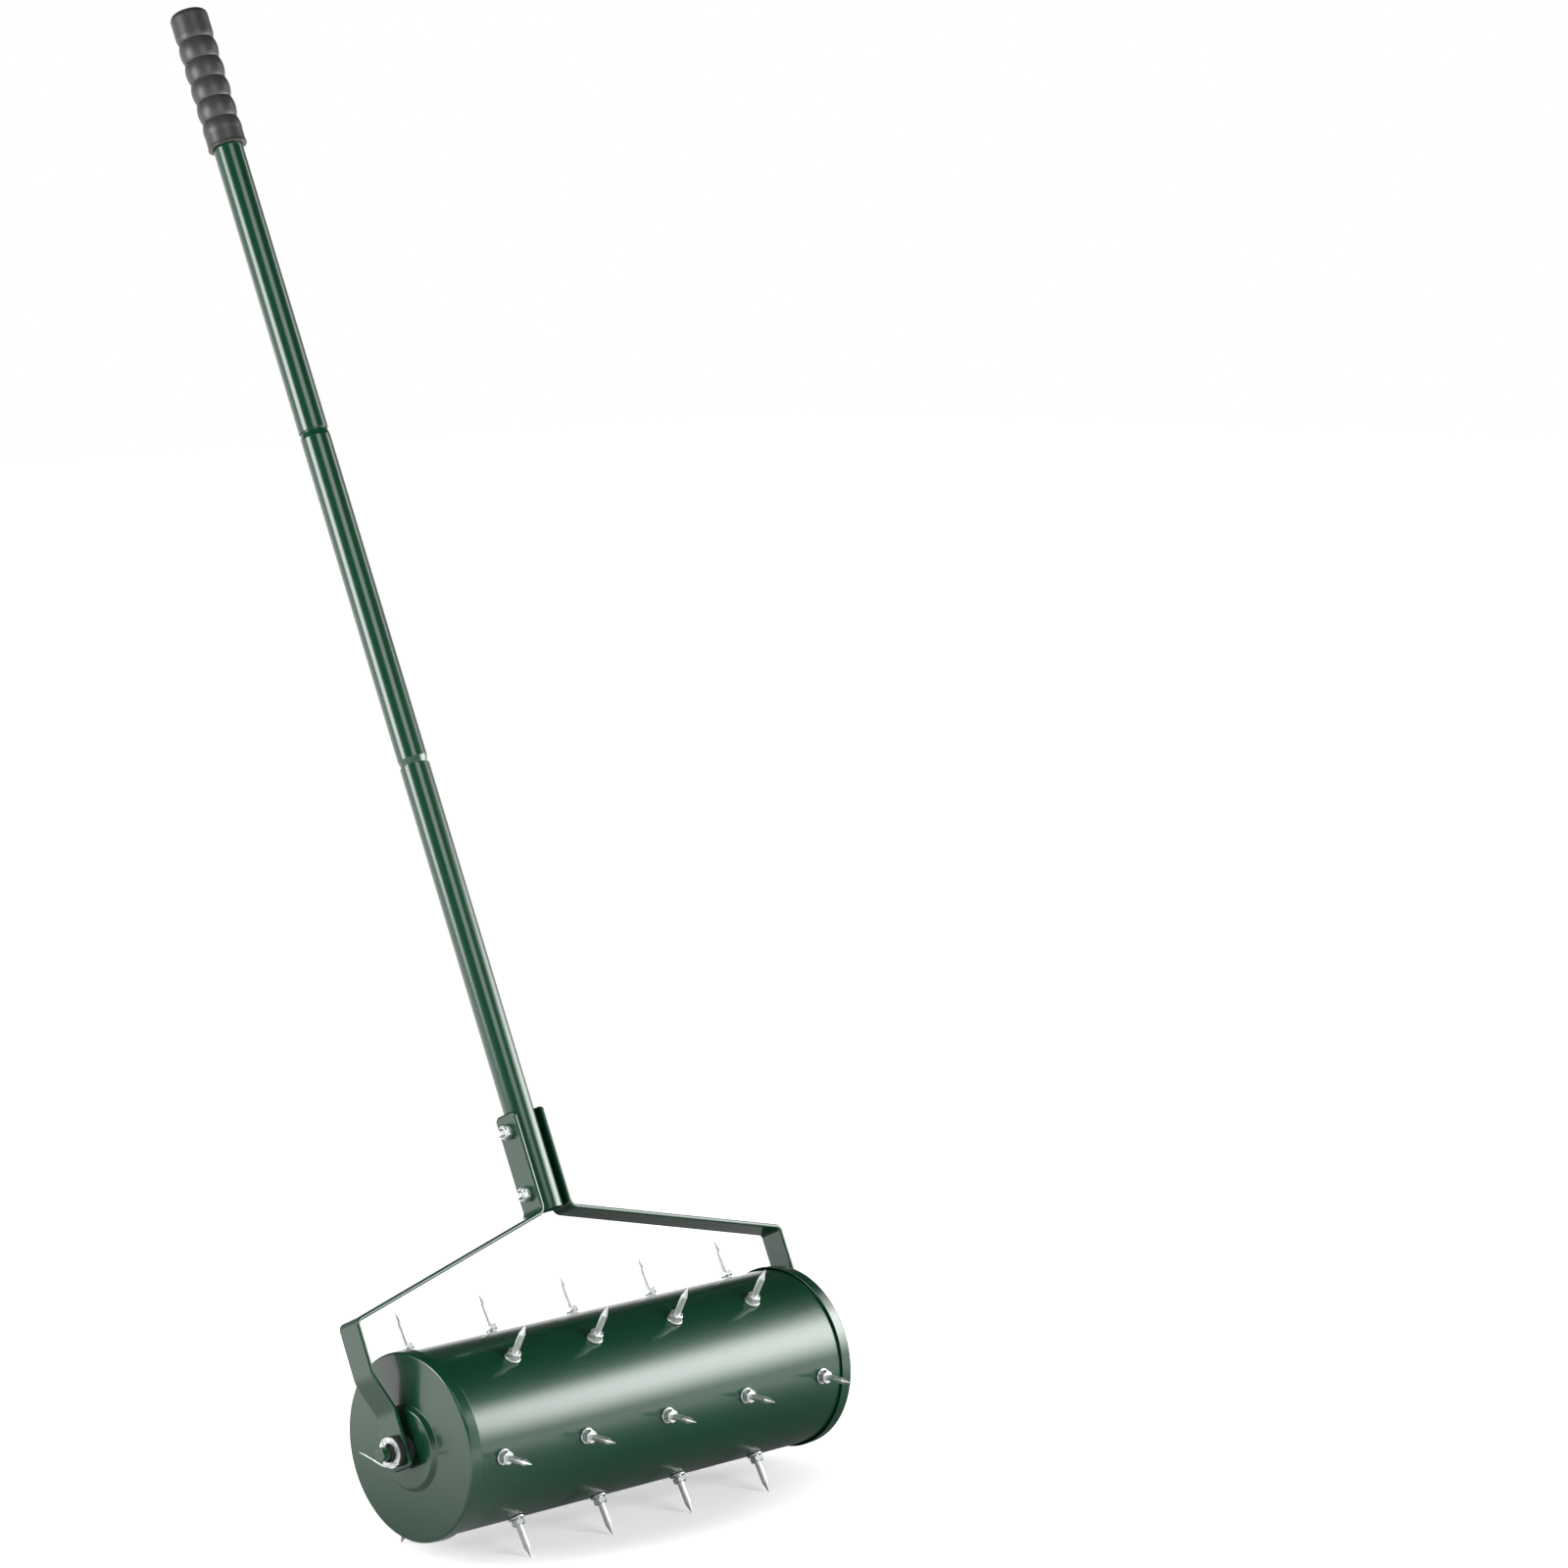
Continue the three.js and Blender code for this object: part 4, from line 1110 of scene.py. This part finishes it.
def grip_profile(handle, gap):
    """The sleeve's outline as (radius, height), from inside its bore to the middle of its top.

    Over a rib the radius is the waist's plus the rib's height times the sine of half a turn,
    to the power 0.75. The foot eases out to its half rib along a cosine, and the head rises
    out of the last groove like a rib, with the power 0.6.
    """
    full, waist, rib = handle.grip_radius, handle.grip_waist, handle.grip_rib
    pitch, curve = handle.rib_pitch, handle.grip_round
    bore = handle.tube / 2 + gap
    tube_top = handle.foot + 2 * (handle.section - handle.spigot) + handle.upper_section
    bore_end = tube_top + gap
    top = bore_end + handle.grip_end
    foot = top - handle.grip_length
    head_foot = top - handle.grip_head
    rib_foot = head_foot - GRIP_RIBS * pitch
    foot_rise = rib_foot - pitch / 2
    lip, lip_top, lip_end, run = 0.5 * MM, 2.6 * MM, 3.2 * MM, 4 * MM
    share = np.linspace(0, 1, 29)
    rising, falling = share[share <= 0.5], share[share > 0.5]
    along = np.linspace(0, 1, 9)[1:]

    def bulge(shares):
        return waist + (rib - waist) * np.sin(math.pi * shares) ** 0.75

    ease = (1 - np.cos(math.pi * along)) / 2
    head = np.sin(math.pi * rising) ** 0.6
    runs = [
        [(bore * 0.2, bore_end), (bore, bore_end), (bore, foot + lip), (bore + lip, foot)],
        [(full, foot), (full + lip, foot + lip), (full + lip, foot + lip_top)],
        [(full, foot + lip_end)],
        columns(full, np.linspace(foot + run, foot_rise - run, 4)),
        columns(full + (rib - full) * ease, foot_rise - run + run * along),
        columns(bulge(falling), foot_rise + (falling - 0.5) * pitch)[:-1],
        *(columns(bulge(share), rib_foot + (i + share) * pitch)[:-1] for i in range(GRIP_RIBS)),
        columns(waist + (full - waist) * head, head_foot + rising * pitch * 0.6),
        columns(full, np.linspace(head_foot + pitch * 0.3, top - curve, 5)[1:]),
        arc((full - curve, top - curve), curve, 0, QUARTER, 8)[1:],
        [(full * 0.4, top), (full * 0.1, top)],
    ]
    return np.concatenate(runs)


class AERATOR_OT_grip(bpy.types.Operator):
    """Moulds the rubber grip: a ribbed sleeve, closed at the top"""

    bl_idname = "aerator.grip"
    bl_label = "Grip"

    def execute(self, context):
        drum, _, _, handle = all_sizes(context)
        part = lofted(spun(grip_profile(handle, drum.fit_gap), TUBE_SIDES))
        piece("grip", on_handle(part), "frame", "grip_rubber", 40)
        return {"FINISHED"}


# ---------------------------------------------------------------- studio

CAMERA_FROM_HUB = np.array((-2.84462526, -3.22054332, 1.09721479))
CAMERA_RIGHT = (0.72132405, -0.69240959, -0.01614173)
CAMERA_UP = (0.09828959, 0.07926828, 0.99199581)
CAMERA_AHEAD = (0.68558789, 0.71713701, -0.12523477)
FOCAL_PIXELS = 4988.615
FRAME_PIXELS = 1600
SENSOR = 36.0
CLIP_END = 60.0
FLOOR_REACH = 14.0

# The world's grey at some heights of the view, from the horizon (0) to straight up (1)
WORLD_STOPS = ((0.0, 1.0), (0.1, 1.0), (0.25, 0.1), (0.45, 0.03), (1.0, 0.02))

# The floor's glows: centre, stretch, where the rise starts and ends, strength there
# The camera's glow whitens the floor. It is weaker near the drum, so the drum's rendered shadow
# shows there.
SEEN_GLOW = ((0, HUB[1], 0), (1, 2, 1), (0.13, 0.38), (0.4, 1.0))
# The glow seen in gloss is nil round a point near the drum and rises away from it: a painted
# shadow of the tool on the floor, seen in the tool's reflections.
MIRRORED_GLOW_AND_SHADOW = ((0.12, -0.12, 0), (1, 1, 1), (0.21, 0.84), (0.0, 1.45))

# The cards that show in gloss: centre, facing, width, height, strength, fade starts
PANELS = (
    ("right_card", (1.223, -1.293, 0.8), (-0.82, 0.57, 0), 1.5, 1.6, 8.5, (0.5, 0.0)),
    ("side_card", (1.79, -0.65, 0.88), (-0.82, 0.57, 0), 1.24, 1.3, 4.5, (0.3, 0.1)),
    ("right_glow", (1.54, -1.0, 1.0), (-0.82, 0.57, 0), 2.3, 2.0, 1.1, (0.4, 0.1)),
    ("left_card", (-1.91, 0.62, 1.25), (0.95, -0.31, 0), 1.4, 1.72, 10.0, (0.3, 0.4)),
    ("front_card", (-0.66, -1.81, 2.27), (0.28, 0.78, -0.56), 1.8, 2.34, 3.3, (0.3, 0.45)),
    ("high_card", (3.88, -0.97, 2.87), (-0.92, 0.23, -0.33), 2.8, 1.7, 3.2, (0.4, 0.2)),
)

# The lamps that light the tool: centre, aim, size, watts
LAMPS = (
    ("left_lamp", (-2.3, 0.7, 1.3), (0, -0.1, 0.3), 1.6, 45),
    ("right_lamp", (0.25, -2.5, 0.95), (0, -0.2, 0.2), 1.6, 45),
)


def emptied(data):
    """The node tree of a material or a world, with no nodes in it."""
    data.use_nodes = True
    data.node_tree.nodes.clear()
    return data.node_tree


def studio_world(scene):
    """A white backdrop up to a little over the horizon, and a dark ceiling above it."""
    world = bpy.data.worlds.new("studio")
    scene.world = world
    tree = emptied(world)
    where = node(tree, "ShaderNodeTexCoord").outputs["Generated"]
    height = node(tree, "ShaderNodeSeparateXYZ", {"Vector": where}).outputs["Z"]
    ramp = node(tree, "ShaderNodeValToRGB", {"Fac": height})
    elements = ramp.color_ramp.elements
    elements[0].position, elements[1].position = WORLD_STOPS[0][0], WORLD_STOPS[-1][0]
    for place, _ in WORLD_STOPS[1:-1]:
        elements.new(place)
    for element, (_, value) in zip(elements, WORLD_STOPS):
        element.color = (value, value, value, 1)
    seen = node(tree, "ShaderNodeLightPath").outputs["Is Camera Ray"]
    inputs = {"Factor": seen, "A": ramp.outputs["Color"], "B": (1, 1, 1, 1)}
    shade = node(tree, "ShaderNodeMix", inputs, data_type="RGBA")
    sky = node(tree, "ShaderNodeBackground", {"Color": shade.outputs["Result"]})
    node(tree, "ShaderNodeOutputWorld", {"Surface": sky.outputs["Background"]})


def soft_lamp(name, centre, target, size, power):
    """A square lamp that lights the tool and the floor, and doesn't show in gloss."""
    data = bpy.data.lights.new(name, "AREA")
    data.size = size
    data.energy = power
    lamp = linked(name, data)
    ahead = Vector(target) - Vector(centre)
    turn = ahead.to_track_quat("-Z", "Y").to_matrix().to_4x4()
    lamp.matrix_world = Matrix.Translation(Vector(centre)) @ turn
    lamp.visible_glossy = False


def card(name, corners):
    """A flat quad with a material of its own, and that material's empty node tree."""
    mesh = bpy.data.meshes.new(name)
    mesh.from_pydata([tuple(corner) for corner in corners], [], [(0, 1, 2, 3)])
    material = bpy.data.materials.new(name)
    mesh.materials.append(material)
    return linked(name, mesh), emptied(material)


def glowing(tree, strength, under):
    """Makes a material's surface: a shader with a glow of the given strength added to it."""
    glow = node(tree, "ShaderNodeEmission", {"Strength": strength})
    total = node(tree, "ShaderNodeAddShader", {0: under, 1: glow.outputs["Emission"]})
    node(tree, "ShaderNodeOutputMaterial", {"Surface": total.outputs["Shader"]})


def soft_panel(name, centre, facing, width, height, strength, fade_starts):
    """A glowing card that fades towards its edges, and shows only in glossy surfaces."""
    centre, ahead = Vector(centre), Vector(facing).normalized()
    right = Vector((0, 0, 1)).cross(ahead).normalized()
    up = ahead.cross(right)
    ends = ((-1, -1), (1, -1), (1, 1), (-1, 1))
    corners = [centre + right * (u * width / 2) + up * (v * height / 2) for u, v in ends]
    panel, tree = card(name, corners)
    layer = panel.data.uv_layers.new(name="panel")
    layer.data.foreach_set("uv", np.array(ends, float).ravel())
    where = node(tree, "ShaderNodeUVMap", uv_map="panel").outputs["UV"]
    split = node(tree, "ShaderNodeSeparateXYZ", {"Vector": where})
    fades = []
    for axis, start in zip("XY", fade_starts):
        away = calculated(tree, "ABSOLUTE", split.outputs[axis])
        fades.append(spread(tree, away, (1.0, 0.0), (start, 1.0), "SMOOTHERSTEP"))
    fade = calculated(tree, "MULTIPLY", *fades)
    clear = node(tree, "ShaderNodeBsdfTransparent").outputs["BSDF"]
    glowing(tree, calculated(tree, "MULTIPLY", fade, strength), clear)
    panel.visible_camera = False
    panel.visible_diffuse = False
    panel.visible_shadow = False


def distance_glow(tree, where, centre, stretch, reach, strength):
    """A strength that rises smoothly with the distance from a centre on the floor.

    The distance is measured after both places are multiplied by the stretch.
    """
    kind = "ShaderNodeVectorMath"
    place = node(tree, kind, {0: where, 1: stretch}, operation="MULTIPLY")
    middle = tuple(c * s for c, s in zip(centre, stretch))
    inputs = {0: place.outputs["Vector"], 1: middle}
    away = node(tree, kind, inputs, operation="DISTANCE")
    return spread(tree, away.outputs["Value"], strength, reach, "SMOOTHSTEP")


def studio_floor(rgb):
    """A pale matt floor. Away from the tool the camera and the gloss see it glow white. Near the
    tool the glow seen in gloss falls to nothing: a painted shadow of the tool on the floor, seen
    in the tool's reflections.
    """
    r = FLOOR_REACH
    floor, tree = card("floor", [(-r, -r, 0), (r, -r, 0), (r, r, 0), (-r, r, 0)])
    path = node(tree, "ShaderNodeLightPath").outputs
    where = node(tree, "ShaderNodeTexCoord").outputs["Object"]
    shade = tinted(tree, path["Is Camera Ray"], rgb, (1, 1, 1))
    matt = node(tree, "ShaderNodeBsdfDiffuse", {"Color": shade}).outputs["BSDF"]
    powers = [
        calculated(tree, "MULTIPLY", distance_glow(tree, where, *glow), path[ray])
        for glow, ray in ((SEEN_GLOW, "Is Camera Ray"), (MIRRORED_GLOW_AND_SHADOW, "Is Glossy Ray"))
    ]
    glowing(tree, calculated(tree, "ADD", *powers), matt)


def studio_camera(scene):
    """The camera at the photograph's place: its own three directions and focal length."""
    data = bpy.data.cameras.new("camera")
    camera = linked("camera", data)
    back = [-value for value in CAMERA_AHEAD]
    turn = Matrix((CAMERA_RIGHT, CAMERA_UP, back)).transposed().to_4x4()
    camera.matrix_world = Matrix.Translation(Vector(HUB + CAMERA_FROM_HUB)) @ turn
    data.sensor_fit = "HORIZONTAL"
    data.sensor_width = SENSOR
    data.lens = FOCAL_PIXELS / FRAME_PIXELS * SENSOR
    data.clip_end = CLIP_END
    scene.camera = camera


class AERATOR_OT_studio(bpy.types.Operator):
    """Sets up the world, the floor, the soft panels, the lamps and the camera"""

    bl_idname = "aerator.studio"
    bl_label = "Studio"

    def execute(self, context):
        scene = context.scene
        scene.view_settings.view_transform = "Standard"
        studio_world(scene)
        studio_floor(tuple(scene.finishes.floor))
        for name, *place in PANELS:
            soft_panel(name, *place)
        for name, *place in LAMPS:
            soft_lamp(name, *place)
        studio_camera(scene)
        return {"FINISHED"}


OPERATORS = (
    AERATOR_OT_drum_shell,
    AERATOR_OT_end_caps,
    AERATOR_OT_hub,
    AERATOR_OT_spikes,
    AERATOR_OT_axle,
    AERATOR_OT_cotter_pins,
    AERATOR_OT_fork_bars,
    AERATOR_OT_bracket_fasteners,
    AERATOR_OT_tubes,
    AERATOR_OT_grip,
    AERATOR_OT_studio,
)
PROPERTY_GROUPS = {
    "drum_sizes": DrumSizes,
    "axle_sizes": AxleSizes,
    "fork_sizes": ForkSizes,
    "handle_sizes": HandleSizes,
    "finishes": Finishes,
}


class AERATOR_PT_panel(bpy.types.Panel):
    """Lists the tool's pieces, the studio and their properties in the sidebar"""

    bl_idname = "AERATOR_PT_panel"
    bl_label = "Rolling spike aerator"
    bl_space_type = "VIEW_3D"
    bl_region_type = "UI"
    bl_category = "Aerator"

    def draw(self, context):
        for operator in OPERATORS:
            self.layout.operator(operator.bl_idname)
        for name in PROPERTY_GROUPS:
            box = self.layout.box()
            group = getattr(context.scene, name)
            for key in group.__annotations__:
                box.prop(group, key)


CLASSES = (*PROPERTY_GROUPS.values(), *OPERATORS, AERATOR_PT_panel)


def register():
    for cls in CLASSES:
        bpy.utils.register_class(cls)
    for name, group in PROPERTY_GROUPS.items():
        setattr(bpy.types.Scene, name, PointerProperty(type=group))


def unregister():
    for name in PROPERTY_GROUPS:
        delattr(bpy.types.Scene, name)
    for cls in reversed(CLASSES):
        bpy.utils.unregister_class(cls)


def main():
    """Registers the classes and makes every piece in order."""
    register()
    for operator in OPERATORS:
        group, name = operator.bl_idname.split(".")
        getattr(getattr(bpy.ops, group), name)()


if __name__ == "__main__":
    main()
